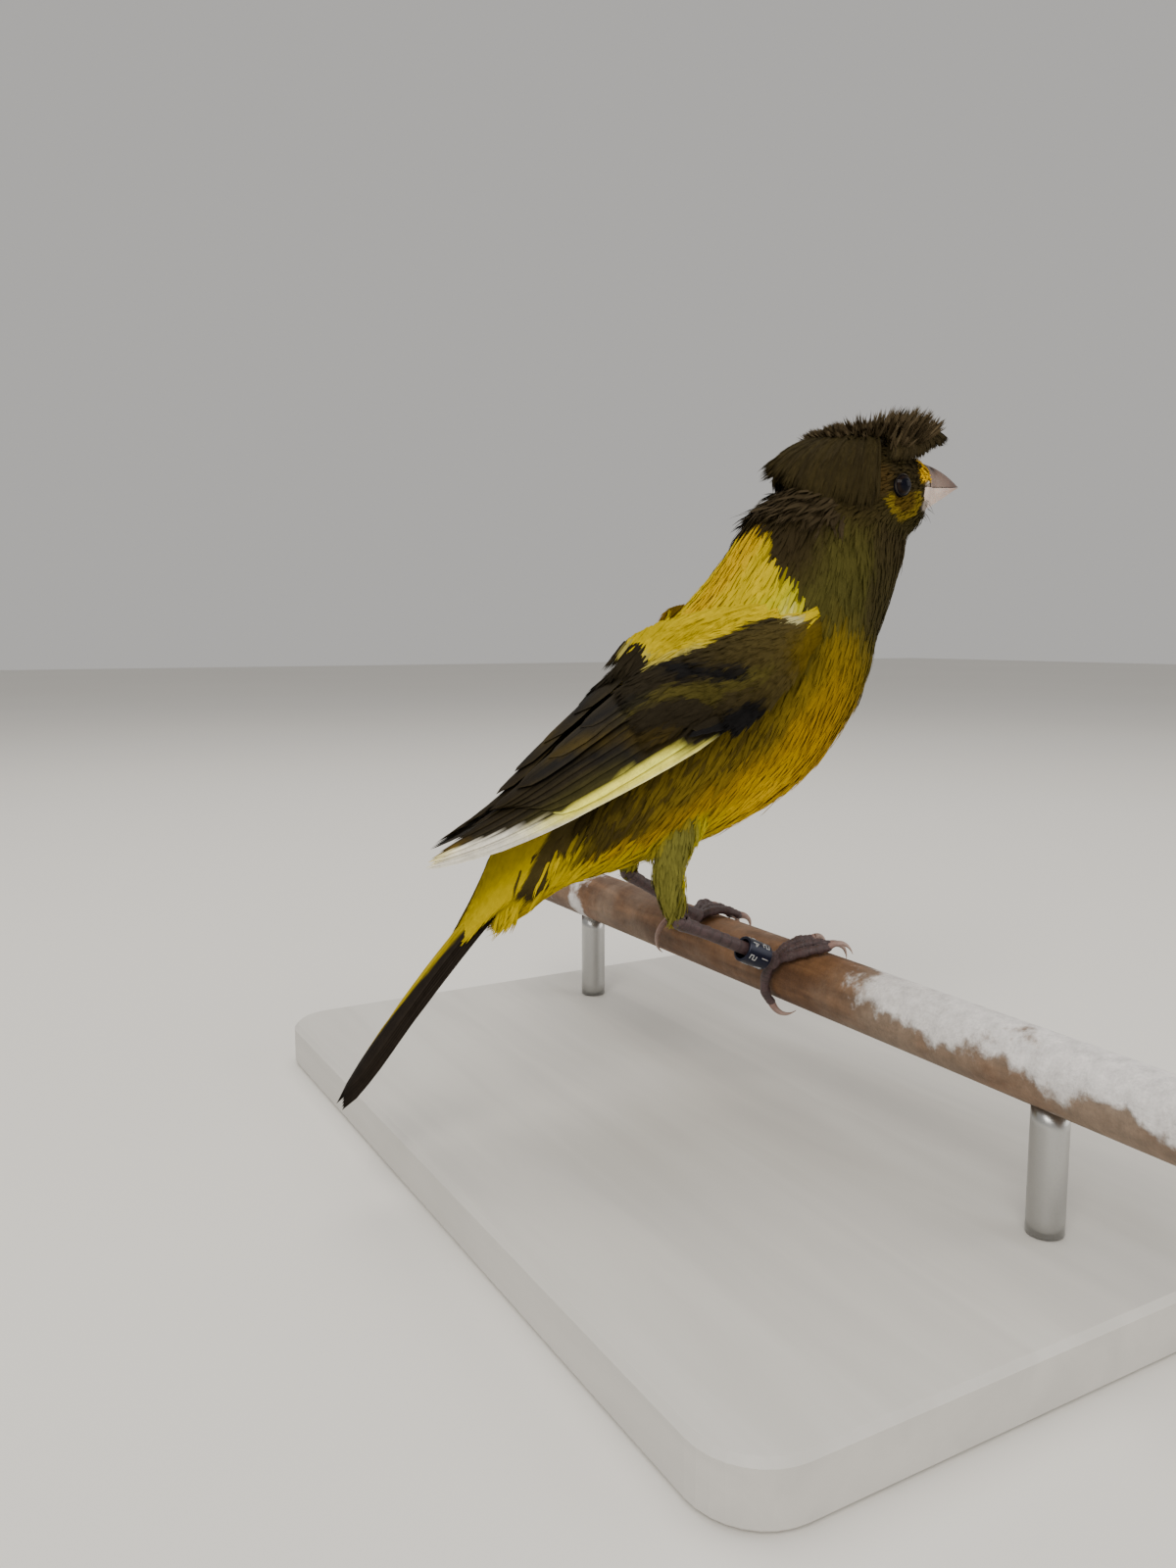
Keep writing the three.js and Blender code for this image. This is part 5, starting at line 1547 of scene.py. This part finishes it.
@dataclass
class Crest:
    """The crest: a lobe combed forward over the brow, one that falls back to the nape, and a loose top."""

    wardrobe: Wardrobe
    tufts: Tufts
    form: Form
    skew: float = 0.7  # how much higher the left side stands
    far_rear: Triple = (1.6, 0.0, 2.8)  # how far the tips at the left side's rear are drawn forward and up
    parting: tuple[float, float] = (87.0, 94.0)
    lock: float = 8.0  # the width of a lock, in degrees
    blades: int = 16000
    top_feathers: int = 1500
    # Lines of the outer surface on one side: azimuth from the front, then root, middle and tip.
    guides: tuple = (
        (0, (23.5, 0, 91.0), (31.6, 0, 92.5), (38.6, 0, 91.0)),
        (22, (23.5, -1.4, 91.0), (31.2, -3.2, 91.8), (36.9, -3.2, 89.9)),
        (42, (23.2, -2.6, 90.8), (28.9, -5.4, 90.8), (32.9, -4.8, 88.2)),
        (58, (22.6, -3.4, 90.7), (26.4, -6.9, 89.4), (28.4, -6.7, 86.0)),
        (72, (21.8, -3.8, 90.5), (23.6, -7.9, 88.7), (23.9, -8.2, 85.0)),
        (87, (20.9, -4.0, 90.3), (20.6, -8.1, 88.0), (19.2, -8.9, 84.6)),
        (94, (19.8, -4.0, 90.3), (17.2, -8.8, 86.6), (16.4, -9.9, 77.2)),
        (108, (19.0, -3.6, 90.4), (14.4, -9.2, 86.2), (12.2, -10.1, 76.0)),
        (122, (18.6, -3.0, 90.5), (11.9, -8.8, 85.9), (8.4, -9.4, 76.0)),
        (138, (18.4, -2.2, 90.6), (9.6, -7.3, 86.3), (5.4, -7.5, 76.8)),
        (157, (18.3, -1.2, 90.7), (7.9, -4.2, 87.0), (3.6, -4.2, 79.6)),
        (169, (18.2, -0.6, 90.8), (7.9, -1.9, 87.7), (1.2, -1.9, 81.6)),
        (180, (18.2, 0, 90.8), (8.0, 0, 88.0), (-0.8, 0, 82.9)))

    def __post_init__(self) -> None:
        """Sets the guides out as arrays."""
        self.azimuths = np.array([g[0] for g in self.guides], float)
        self.knots = np.array([g[1:] for g in self.guides], float)

    def surface(self, azimuth: Array, s: Array) -> Array:
        """Points of the crest's outer surface.

        Args:
            azimuth: Degrees from the front round the right side, to 360.
            s: Shares of the way from the root to the tip.

        Returns:
            Points, in mm.
        """
        azimuth, s = np.broadcast_arrays(azimuth, s)
        right = azimuth <= 180
        near = np.where(right, azimuth, 360 - azimuth)
        root, middle, tip = (
            np.stack([np.interp(near, self.azimuths, self.knots[:, row, axis]) for axis in range(3)], -1)
            for row in range(3))
        control = 2 * middle - (root + tip) / 2
        w = s[..., None]
        p = root * (1 - w) ** 2 + control * 2 * w * (1 - w) + tip * w ** 2
        p = p * np.where(right, 1.0, -1.0)[..., None] ** np.array([0, 1, 0])
        p = p + UPWARD * (self.skew * np.where(right, 0, np.sin(np.radians(near))))[..., None]
        rear = np.where(right, 0, s ** 2) * ramp(105, 135, near) * ramp(180, 165, near)
        p = p + np.array(self.far_rear) * rear[..., None]
        return self.form.turn(p)

    def build(self) -> None:
        """Makes the crest as one piece."""
        bundle = Bundle()
        self._lobes(bundle)
        self._top(bundle)
        piece = bundle.build("crest_feathers", self.wardrobe.down, "plumage_dark")
        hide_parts("crest")

    def _lobes(self, bundle: Bundle) -> None:
        """Adds the two lobes as slim blades along the guides, in several depths and loose locks."""
        rng = self.tufts.rng
        n = self.blades
        azimuth = rng.uniform(0, 360, n)
        near = np.minimum(azimuth, 360 - azimuth)
        keep = (near < self.parting[0]) | (near > self.parting[1])
        azimuth, near = azimuth[keep], near[keep]
        n = len(azimuth)
        front = near < self.parting[0]
        start = rng.uniform(0, 0.66, n) ** 0.8
        end = np.minimum(start + rng.uniform(0.3, 0.46, n), rng.uniform(0.9, 1.05, n))
        deep = rng.random(n) ** 1.5 * np.where(front, 1.9, 2.6)
        s = start[:, None] + (end - start)[:, None] * np.array(self.tufts.shares)[None]
        wide = self.lock
        number = np.floor(azimuth / wide)
        lock = (number + 0.5) * wide + rng.normal(0, 1.0, 46)[number.astype(int)]
        drawn = azimuth[:, None] + (lock - azimuth)[:, None] * 0.3 * s ** 2
        drawn = (drawn + rng.normal(0, 4.0, (n, 1)) * (s - s[:, :1])) % 360
        off_front = np.minimum(drawn, 360 - drawn)
        before, behind = self.parting
        same = np.where(front[:, None], np.minimum(before, off_front), np.maximum(behind, off_front))
        drawn = np.where(drawn > 180, 360 - same, same)
        middle = self.surface(drawn, s)
        ahead = unit(middle[:, 2] - middle[:, 1])
        round_it = self.surface(azimuth + 0.5, s[:, 1]) - self.surface(azimuth - 0.5, s[:, 1])
        out = unit(np.cross(ahead, round_it))
        centre = self.form.turn(np.array([[20.0, 0.0, 82.0]]))
        out = np.where(np.sum(out * (middle[:, 1] - centre), 1, keepdims=True) < 0, -out, out)
        ridge = 0.08 * np.cos((azimuth - lock) / wide * TURN)
        sink = (deep - ridge)[:, None] * np.array([1.15, 1.0, 0.9, 0.8]) + 0.5 * (1 - s) ** 4
        middle = middle - out[:, None] * sink[..., None]
        side = unit(np.cross(out, ahead))
        streak = blotches(np.stack([azimuth * 0.5, 2 * start, 0 * start], 1), 1.0, 41) - 0.5
        tone = layered(CREST, (OLIVE, np.clip(0.35 + 0.6 * streak, 0, 1)),
                       (FLUFF, 0.6 * front * ramp(0.9, 0.2, start) * rng.random(n)))
        # Painted shade: blades that lie deeper in the crest are up to 15% darker.
        tone = tone * (1 - 0.15 * deep / 2.6)[:, None] * (1 + 0.1 * streak)[:, None]
        bake = np.stack([0.03 + 0.94 * azimuth / 360, 0.05 + 0.85 * start], 1)
        self.tufts.lay(bundle, middle, side, out, rng.uniform(0.2, 0.36, n), tone, bake, 0.05)

    def _top(self, bundle: Bundle) -> None:
        """Adds the short tousled feathers that stand up over the crown."""
        rng = self.tufts.rng
        n = self.top_feathers
        azimuth = rng.uniform(0, 360, n)
        near = np.minimum(azimuth, 360 - azimuth)
        s = rng.uniform(0.0, 0.55, n) ** 1.1 * np.where(near < 90, 1.25, 0.55)
        root = self.surface(azimuth, s)
        root[:, 2] -= 0.8
        hub = self.form.turn(np.array([[22.0, 0.0, 80.0]]))
        out = unit(root - hub)
        bend = unit(self.surface(azimuth, s + 0.05) - root)
        lean = unit(out * 0.5 + bend * 0.75 + rng.normal(0, 0.36, (n, 3)))
        high = bell(root[:, 0], 24.5, 5.0)
        length = rng.uniform(1.6, 3.0, n) * (1 + 0.5 * high) * np.where(near > 90, 0.8, 1.0)
        k = np.array(self.tufts.shares)[None, :, None]
        middle = root[:, None] + length[:, None, None] * (lean[:, None] * k + bend[:, None] * 0.3 * k ** 2)
        side = unit(np.cross(out + rng.normal(0, 0.3, (n, 3)), lean))
        face = np.cross(lean, side)
        tone = mix(UMBER * 1.5, FLUFF * 1.2, rng.uniform(0.2, 1.0, n))
        bake = np.stack([0.03 + 0.94 * azimuth / 360, 0.05 + 0.6 * s], 1)
        half = rng.uniform(0.16, 0.3, n)
        self.tufts.lay(bundle, middle, side, unit(face + 0.35 * out), half, tone, bake, 0.12)


@dataclass
class Face:
    """Eyes with their lids, the bill and the bristles at its root."""

    wardrobe: Wardrobe
    form: Form
    rng: np.random.Generator
    eye: Triple = (22.6, 7.3, 80.9)
    radius: float = 2.0
    bill_root: tuple[float, float] = (32.2, 81.6)
    bill_tip: tuple[float, float] = (42.0, 83.0)
    droop: float = 0.7
    gape: tuple[float, float] = (30.6, 81.3)
    bill_half: Triple = (3.8, 4.3, 4.3)  # to the side, up and down, at the root

    def build(self) -> None:
        """Makes every piece of the face."""
        for side in Side:
            self._eye(side)
            self._lids(side)
        self._bill()
        self._bristles()

    def _eye(self, side: Side) -> None:
        """Makes one eyeball, with a dark brown iris round its pupil."""
        rows, sides = 28, 36
        pole = 0.02
        polar, round_it = np.meshgrid(np.linspace(pole, np.pi - pole, rows),
                                      np.arange(sides) / sides * TURN, indexing="ij")
        ball = np.stack([np.sin(polar) * np.cos(round_it), -np.cos(polar) * side.value,
                         np.sin(polar) * np.sin(round_it)], -1)
        swell = 1 + 0.035 * ramp(0.75, 1.0, ball[..., 1:2] * side.value)
        centre = np.array([self.eye[0], side.value * self.eye[1], self.eye[2]])
        rings = self.form.turn(centre + self.radius * ball * swell).reshape(-1, 3)
        points, faces = capped(rings, rows, sides)
        outward = np.concatenate([(ball[..., 1] * side.value).ravel(), [-1.0, 1.0]])
        iris = ramp(0.62, 0.7, outward) * ramp(0.86, 0.8, outward)
        if side is Side.LEFT:
            faces = [f[:, ::-1] for f in faces]
        bundle = Bundle()
        bundle.add_closed(points, faces, mix(EYEBALL, IRIS, iris))
        piece = bundle.build(f"eyeball_{side.name.lower()}", self.wardrobe.eye, "eye")
        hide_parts(f"eye_{side.name.lower()}")

    def _lids(self, side: Side) -> None:
        """Makes the thin rim of bare lid round one eye, paler above and below."""
        steps, sides = 48, 10
        a = np.linspace(0, TURN, steps, endpoint=False)
        x = self.eye[0] + 1.68 * np.cos(a)
        z = self.eye[2] + 1.76 * np.sin(a)
        y = side.value * (self.eye[1] + 0.95 - 0.14 * np.cos(a))
        path = self.form.turn(np.stack([x, y, z], 1))
        path = np.concatenate([path, path[:1]])
        rings = tube(path, np.full(len(path), 0.16), sides, LEFTWARD * side.value)
        faces = grid_faces(len(path), sides, closed=True)
        mark = np.maximum(bell(a, 1.35, 0.4), 0.6 * bell(a, 3.5, 0.5))
        bundle = Bundle()
        bundle.add(rings, faces, mix(LID, LID_PALE, np.repeat(np.append(mark, mark[0]), sides)))
        bundle.build(f"lids_{side.name.lower()}", self.wardrobe.skin, "plumage_dark")

    def _bill(self) -> None:
        """Makes both halves of the bill, each closed along the mouth."""
        rows, sides = 36, 40
        share, k = np.meshgrid(np.linspace(0, 1, rows), np.linspace(0, np.pi, sides), indexing="ij")
        half, up, down = self.bill_half
        for name, sign, depth in (("upper", 1, up), ("lower", -1, down)):
            start = -0.02 if sign > 0 else -0.27
            t = start + (1 - start) * share
            taper = 1 - np.maximum(t, 0) ** 1.35
            flare = (0.5 if sign > 0 else 2.1) * ramp(0.18, start, t)
            x = self.bill_root[0] + (self.bill_tip[0] - self.bill_root[0]) * t
            axis = self.bill_root[1] + (self.bill_tip[1] - self.bill_root[1]) * t
            axis = axis - self.droop * np.maximum(t, 0) ** 3
            mouth = np.interp(x, [self.gape[0] - 1, self.gape[0], self.bill_tip[0]],
                              [self.gape[1], self.gape[1], self.bill_tip[1] - self.droop])
            edge = axis + sign * np.maximum(0.1, depth * taper)
            rise = np.maximum(0.08, (edge - mouth) * sign + (0.06 if sign > 0 else 0.0))
            y = (half * (taper * (1.0 if sign > 0 else 0.94) + 0.02) + flare) * np.cos(k)
            z = mouth + sign * (0.05 + rise * np.sin(k) ** 0.85)
            hollow = 0.0 * t
            if sign > 0:
                along = (x - self.bill_root[0] - 1.7) / 0.7
                hollow = np.exp(-(along ** 2 + ((np.abs(np.cos(k)) - 0.66) / 0.15) ** 2))
                y = y * (1 - 0.16 * hollow)
            else:
                z = z + 0.2 * bell(k, np.pi / 2, 0.25) * taper
            shell = self.form.turn(np.stack([x, y, z], -1)).reshape(-1, 3)
            inner = self.form.turn(np.stack([x, y * 0.96, mouth + sign * 0.05 + 0 * x], -1)).reshape(-1, 3)
            faces = grid_faces(rows, sides)
            n = rows * sides
            if sign < 0:
                faces = faces[:, ::-1]
            far = ramp(0.2, 1.0, t).ravel()
            low = ramp(0.9, 0.0, np.sin(k)).ravel()
            if sign > 0:
                tone = layered(BILL_ROOT, (BILL_TIP, far), (BILL_EDGE, 0.6 * low * (1 - far)),
                               (NOSTRIL, 0.9 * hollow.ravel()))
            else:
                tone = mix(JAW_ROOT, JAW_TIP, far)
            bundle = Bundle()
            # The inner faces along the mouth take the tone at 0.35: painted shade between the two halves.
            bundle.add(np.concatenate([shell, inner]), np.concatenate([faces, faces[:, ::-1] + n]),
                       np.concatenate([tone, tone * 0.35]))
            piece = bundle.build(f"bill_{name}_horn", self.wardrobe.horn, f"bill_{name}")
            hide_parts(f"bill_{name}")

    def _bristles(self) -> None:
        """Grows the fine bristles at the corners of the mouth."""
        bundle = Bundle()
        for side in Side:
            for _ in range(9):
                start = np.array([30.8 + self.rng.uniform(-1.5, 0.8),
                                  side.value * (4.4 + self.rng.uniform(-0.5, 0.3)),
                                  78.6 + self.rng.uniform(-2.4, 1.0)])
                reach = self.rng.uniform(1.0, 1.9)
                lean = np.array([1.0, side.value * 0.3, self.rng.uniform(-1.2, -0.2)])
                s = np.linspace(0, 1, 6)[:, None]
                path = self.form.turn(start + unit(lean) * reach * s + np.array([0, 0, -0.5]) * s ** 2)
                bundle.add_tube(path, np.linspace(0.06, 0.015, 6), 4, np.array([0, 1.0, 0.2]), UMBER)
        bundle.build("bristles", self.wardrobe.claw, "plumage_dark")


# Legs, ring, perch and stand


def grip(angle: Array, y: Array, lift: Array) -> Array:
    """Points off the perch's surface, by the angle from the heading round its axis."""
    r = PERCH_RADIUS + 0.3 + np.asarray(lift, float)
    a = np.radians(np.asarray(angle, float))
    return np.stack(np.broadcast_arrays(r * np.cos(a), np.asarray(y, float), r * np.sin(a)), -1)


@dataclass
class Leg:
    """One bare leg with four toes and their claws, closed round the perch."""

    side: Side
    wardrobe: Wardrobe
    heel: Triple
    pad: tuple[float, float]
    toes: dict[str, tuple[float, float, float, float]]  # end angle and y, claw angle and y
    tarsus: float = 1.05
    toe: float = 0.88

    def base(self) -> Array:
        """The middle of the pad where shank and toes meet."""
        return grip(self.pad[0], self.pad[1], self.toe)

    def build(self) -> None:
        """Makes the leg and its claws."""
        name = self.side.name.lower()
        bundle = Bundle()
        self._shank(bundle)
        for toe in self.toes.values():
            self._toe(bundle, toe)
        piece = bundle.build(f"foot_{name}", self.wardrobe.scales, "leg_scales")
        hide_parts(f"leg_{name}")
        for key, toe in self.toes.items():
            self._claw(f"{name}_{key}", toe)

    def _limb(self, bundle: Bundle, path: Array, radii: Array, sides: int, plates: float,
              depth: float) -> None:
        """Adds a scaly tube whose plates overlap along it.

        Args:
            bundle: The piece that it goes into.
            path: Its middle line.
            radii: Its radii.
            sides: How many vertices go round it.
            plates: How many plates it has.
            depth: How far a plate stands over the next, as a share of the radius.
        """
        share = np.linspace(0, 1, len(path))
        step = (share * plates) % 1.0

        def relief(a: Array, s: Array) -> Array:
            """The factor on the radius, strongest in front."""
            return 1 + depth * ((s * plates) % 1.0 - 0.5) * np.maximum(0.25, np.cos(a))

        rings = tube(path, radii, sides, np.array([0.35, 0.0, 1.0]), relief)
        points, faces = capped(rings, len(path), sides)
        groove = np.repeat(ramp(0.0, 0.25, step), sides)
        bundle.add_closed(points, faces, LEG_SKIN * (0.55 + 0.6 * np.append(groove, [1, 1]))[:, None])

    def _shank(self, bundle: Bundle) -> None:
        """Adds the shank from the heel to the pad, with swellings at both ends."""
        heel, base = np.array(self.heel), self.base()
        way = base - heel
        knots = np.array([heel + [0.2, 0, 1.6], heel, heel + way * 0.33, heel + way * 0.66, base])
        path = subdivided(knots, 90)
        s = np.linspace(0, 1, 90)
        radii = self.tarsus * (1 + 0.42 * bell(s, 0.22, 0.1) + 0.5 * bell(s, 1.0, 0.08)
                               + 0.25 * ramp(0.1, 0.0, s))
        self._limb(bundle, path, radii, 18, 13, 0.16)

    def _toe(self, bundle: Bundle, toe: tuple[float, float, float, float]) -> None:
        """Adds one toe round the perch, swollen at its joints."""
        n = 56
        t = np.linspace(0, 1, n)
        y = self.pad[1] + (toe[1] - self.pad[1]) * np.sin(t * np.pi / 2)
        angle = self.pad[0] + (toe[0] - self.pad[0]) * t
        path = grip(angle, y, self.toe * (1.06 - 0.06 * t))
        reach = abs(math.radians(toe[0] - self.pad[0])) * 6.2 + abs(toe[1] - self.pad[1])
        joints = 1 + 0.1 * np.cos(TURN * t * max(2, round(reach / 3.2)))
        self._limb(bundle, path, self.toe * (1 - 0.2 * t) * joints * (1 - 0.25 * ramp(0.92, 1.0, t)), 14,
                   reach / 0.85, 0.2)

    def _claw(self, name: str, toe: tuple[float, float, float, float]) -> None:
        """Makes one curved, pointed claw on the end of its toe."""
        n, sides = 26, 12
        t = np.linspace(0, 1, n)
        turn = math.copysign(1.0, toe[2] - toe[0])
        angle = toe[0] - turn * 4 + (toe[2] - toe[0] + turn * 4) * t
        y = toe[1] + (toe[3] - toe[1]) * t
        lift = self.toe * (1 - 0.7 * t ** 2) + 1.1 * np.sin(np.pi * t * 0.8)
        path = grip(angle, y, lift)
        radii = 0.62 - 0.58 * t ** 1.2
        tone = mix(CLAW_ROOT, CLAW_TIP, np.append(np.repeat(t, sides), [0, 1]))
        bundle = Bundle()
        bundle.add_tube(path, radii, sides, np.array([1.0, 0, 0.2]), tone,
                        lambda a, s: 1 + 0.12 * np.cos(2 * a))
        piece = bundle.build(f"nail_{name}", self.wardrobe.claw, "claw_horn")
        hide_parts(f"claw_{name}")


@dataclass
class LegRing:
    """The closed ring on the right leg, with plain numerals round it."""

    wardrobe: Wardrobe
    leg: Leg
    outer: float = 2.1
    inner: float = 1.65
    height: float = 4.6
    share: float = 0.76
    strokes: tuple = (
        # plain numerals as lines on a 2 by 4 grid
        ((0, 0), (1, 0), (1, 1), (0, 1), (0, 2), (1, 2)), ((0.5, 0), (0.5, 2)),
        ((0, 2), (1, 2), (0.4, 0)), ((1, 0), (1, 2), (0, 1), (1, 1)))

    def __post_init__(self) -> None:
        """Works out where the ring hangs on the shank."""
        start, end = np.array(self.leg.heel), self.leg.base()
        self.along = unit(end - start)
        self.middle = start + (end - start) * self.share
        self.middle[2] -= self.inner - self.leg.tarsus * 1.1 - 0.3
        self.side = unit(np.cross(self.along, np.array([0.0, 1.0, 0.0])))
        self.front = np.cross(self.side, self.along)

    def at(self, angle: Array, height: Array, radius: Array) -> Array:
        """Points of the ring by angle, height along the leg and radius."""
        return (self.middle + self.along * np.asarray(height)[..., None]
                + self.side * (radius * np.cos(angle))[..., None]
                + self.front * (radius * np.sin(angle))[..., None])

    def build(self) -> None:
        """Makes the ring and its numerals."""
        e = 0.08
        h = self.height / 2
        r0, r1 = self.inner, self.outer
        outline = np.array([(r0, -h + e), (r0 + e, -h), (r1 - e, -h), (r1, -h + e),
                            (r1, h - e), (r1 - e, h), (r0 + e, h), (r0, h - e)])
        sides = 64
        a, k = np.meshgrid(np.linspace(0, TURN, sides, endpoint=False), np.arange(8), indexing="ij")
        points = self.at(a, outline[k, 1], outline[k, 0]).reshape(-1, 3)
        faces = grid_faces(sides, 8, closed=True)
        k = np.arange(8)
        nxt = (k + 1) % 8
        wrap = np.stack([(sides - 1) * 8 + k, (sides - 1) * 8 + nxt, nxt, k], 1)
        bundle = Bundle()
        bundle.add(points, np.concatenate([faces, wrap]), PLAIN)
        piece = bundle.build("ring_band", self.wardrobe.ring, "ring_metal", smooth=False)
        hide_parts("leg_ring")
        self._numerals()

    def _numerals(self) -> None:
        """Raises the numerals on the band, in two rows."""
        bundle = Bundle()
        for row in range(2):
            for i in range(6):
                strokes = self.strokes[(i * 3 + row) % len(self.strokes)]
                turn = i / 6 * TURN + 0.2 * row
                line = np.array([(turn + 0.34 * px, -1.1 + 2.2 * row + 0.58 * (py - 1))
                                 for px, py in strokes])
                path = self.at(line[:, 0], line[:, 1], np.full(len(line), self.outer + 0.01))
                fine = np.concatenate([path[j] + (path[j + 1] - path[j]) * np.linspace(0, 1, 4)[:, None]
                                       for j in range(len(path) - 1)])
                fine = fine + 1e-6 * np.arange(len(fine))[:, None]
                bundle.add_tube(fine, np.full(len(fine), 0.09), 6, self.along + 0.01, NUMERAL)
        bundle.build("ring_numerals", self.wardrobe.numeral, "ring_metal")


@dataclass
class Stand:
    """The perch, two rods and a base."""

    wardrobe: Wardrobe
    near: float = -88.0
    far: float = 84.0
    rods: dict[str, float] = field(default_factory=lambda: {"near": -62.0, "far": 58.0})
    rod_radius: float = 2.5
    base_top: float = -22.0

    def build(self) -> None:
        """Makes the perch and the rods, and paints the base."""
        self._perch()
        for key, y in self.rods.items():
            self._rod(key, y)
        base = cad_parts["stand_base"]
        base.data.materials.clear()
        base.data.materials.append(self.wardrobe.paint)

    def _perch(self) -> None:
        """Makes the perch, slightly uneven, with softened cut ends."""
        rows, sides = 130, 56
        y = np.linspace(self.near, self.far, rows)
        end = np.minimum(y - self.near, self.far - y)
        radii = PERCH_RADIUS - 0.5 * (1 - np.clip(end / 0.5, 0, 1)) ** 2
        path = np.stack([0 * y, y, 0 * y], 1)

        def wobble(a: Array, s: Array) -> Array:
            """The factor on the radius."""
            return 1 - 0.004 * (1 + np.sin(3 * a + 9 * s) * np.cos(2 * a - 5 * s))

        points, faces = capped(tube(path, radii, sides, UPWARD, wobble), rows, sides)
        bundle = Bundle()
        bundle.add_closed(points, faces, PLAIN)
        piece = bundle.build("perch_dowel", self.wardrobe.wood, "perch_wood")
        piece.data.polygons.foreach_set("use_smooth", np.concatenate(
            [np.ones(len(faces[0]), bool), np.zeros(len(faces[1]), bool)]))
        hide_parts("perch")

    def _rod(self, key: str, y: float) -> None:
        """Makes one rod, cut to the perch at its top."""
        rows, sides = 8, 40
        bottom = self.base_top + 0.3
        a = np.linspace(0, TURN, sides, endpoint=False)
        x = self.rod_radius * np.cos(a)
        top = -np.sqrt((PERCH_RADIUS + 0.02) ** 2 - x ** 2)
        share = np.linspace(0, 1, rows)[:, None]
        z = bottom + (top[None] - bottom) * share
        rings = np.stack(np.broadcast_arrays(x, y + self.rod_radius * np.sin(a), z), -1)
        points, faces = capped(rings.reshape(-1, 3), rows, sides)
        points[-1, 2] = -PERCH_RADIUS - 0.02
        bundle = Bundle()
        bundle.add_closed(points, faces, PLAIN)
        piece = bundle.build(f"rod_{key}", self.wardrobe.steel, "rod_steel")
        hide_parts(f"stand_rod_{key}")


@dataclass
class Studio:
    """A pale floor, soft light and a camera where the photo was taken from."""

    eye: Triple = (-116.2, -158.7, 86.04)
    forward: Triple = (0.48597, 0.86488, -0.12576)
    right: Triple = (0.8718, -0.48986, 0.0)
    lens: float = 27.2

    def build(self) -> None:
        """Makes the floor, the lights and the camera."""
        self._floor()
        self._world()
        self._light("key", (-0.55, -0.55, 0.75), 0.55, 7.0)
        self._light("fill", (0.7, -0.5, 0.35), 0.6, 2.4)
        self._light("top", (0.0, 0.25, 0.8), 0.7, 4.0)
        self._camera()

    def _floor(self) -> None:
        """Makes the floor, which isn't part of the model."""
        mesh = bpy.data.meshes.new("floor")
        r = 3.0
        mesh.from_pydata([(-r, -r, 0), (r, -r, 0), (r, r, 0), (-r, r, 0)], [], [(0, 1, 2, 3)])
        floor = bpy.data.objects.new("floor", mesh)
        bpy.context.scene.collection.objects.link(floor)
        s = Surface("floor")
        noise = s.graph.noise(s.place(), 3.0)
        s.set(Base_Color=s.graph.blend(noise, (0.74, 0.72, 0.68), (0.78, 0.76, 0.72)), Roughness=0.85)
        mesh.materials.append(s.material)

    def _world(self) -> None:
        """Lights the scene evenly from all round."""
        world = bpy.data.worlds.new("studio")
        world.use_nodes = True
        back = world.node_tree.nodes["Background"]
        back.inputs["Color"].default_value = (0.9, 0.88, 0.85, 1)
        back.inputs["Strength"].default_value = 0.55
        bpy.context.scene.world = world

    def _light(self, name: str, place: Triple, size: float, power: float) -> None:
        """Adds a soft lamp that looks at the bird."""
        lamp = bpy.data.lights.new(name, "AREA")
        lamp.size, lamp.energy = size, power
        lamp.color = (1.0, 0.97, 0.92)
        light = bpy.data.objects.new(name, lamp)
        light.location = place
        aim = Vector((0.0, 0.0, 0.08)) - light.location
        light.rotation_euler = aim.to_track_quat("-Z", "Y").to_euler()
        bpy.context.scene.collection.objects.link(light)

    def _camera(self) -> None:
        """Adds the camera."""
        data = bpy.data.cameras.new("camera")
        data.lens, data.sensor_width, data.sensor_fit = self.lens, 36.0, "AUTO"
        data.clip_start = 0.005
        camera = bpy.data.objects.new("camera", data)
        forward, right = Vector(self.forward).normalized(), Vector(self.right).normalized()
        up = right.cross(forward)
        turn = Matrix((right, up, -forward)).transposed().to_4x4()
        camera.matrix_world = Matrix.Translation(Vector(self.eye) / 1000) @ turn
        bpy.context.scene.collection.objects.link(camera)
        bpy.context.scene.camera = camera


def legs(wardrobe: Wardrobe) -> dict[Side, Leg]:
    """The two legs as they grip the perch."""
    return {
        Side.RIGHT: Leg(Side.RIGHT, wardrobe, (-23, -10.2, 11.4), (150, -11.5), {
            "hind": (232, -9.2, 268, -11), "inner": (74, -12.4, 44, -12.4),
            "middle": (66, -15.8, 30, -16.6), "outer": (88, -18.4, 52, -19.8)}),
        Side.LEFT: Leg(Side.LEFT, wardrobe, (-18.6, 12.4, 14.6), (127, 13.2), {
            "hind": (153, 20.4, 216, 22.6), "inner": (50, 10.6, 18, 10.2),
            "middle": (40, 14.4, 6, 14.8), "outer": (56, 18.6, 24, 20)}),
    }


def main() -> None:
    """Builds the bird, its stand and the studio, in that order."""
    logging.basicConfig(level=logging.INFO, format="%(message)s")
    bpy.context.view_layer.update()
    rng = np.random.default_rng(SEED)
    wardrobe = Wardrobe()
    form = Form()
    tufts = Tufts(rng)
    Stand(wardrobe).build()
    markings = Markings(form)
    Plumage(form, markings, wardrobe, tufts).build()
    Face(wardrobe, form, rng).build()
    Crest(wardrobe, tufts, form).build()
    for side in Side:
        Wing(side, wardrobe, tufts, markings).build()
    Tail(wardrobe, tufts).build()
    pair = legs(wardrobe)
    for leg in pair.values():
        leg.build()
    LegRing(wardrobe, pair[Side.RIGHT]).build()
    Studio().build()


if __name__ == "__main__":
    main()
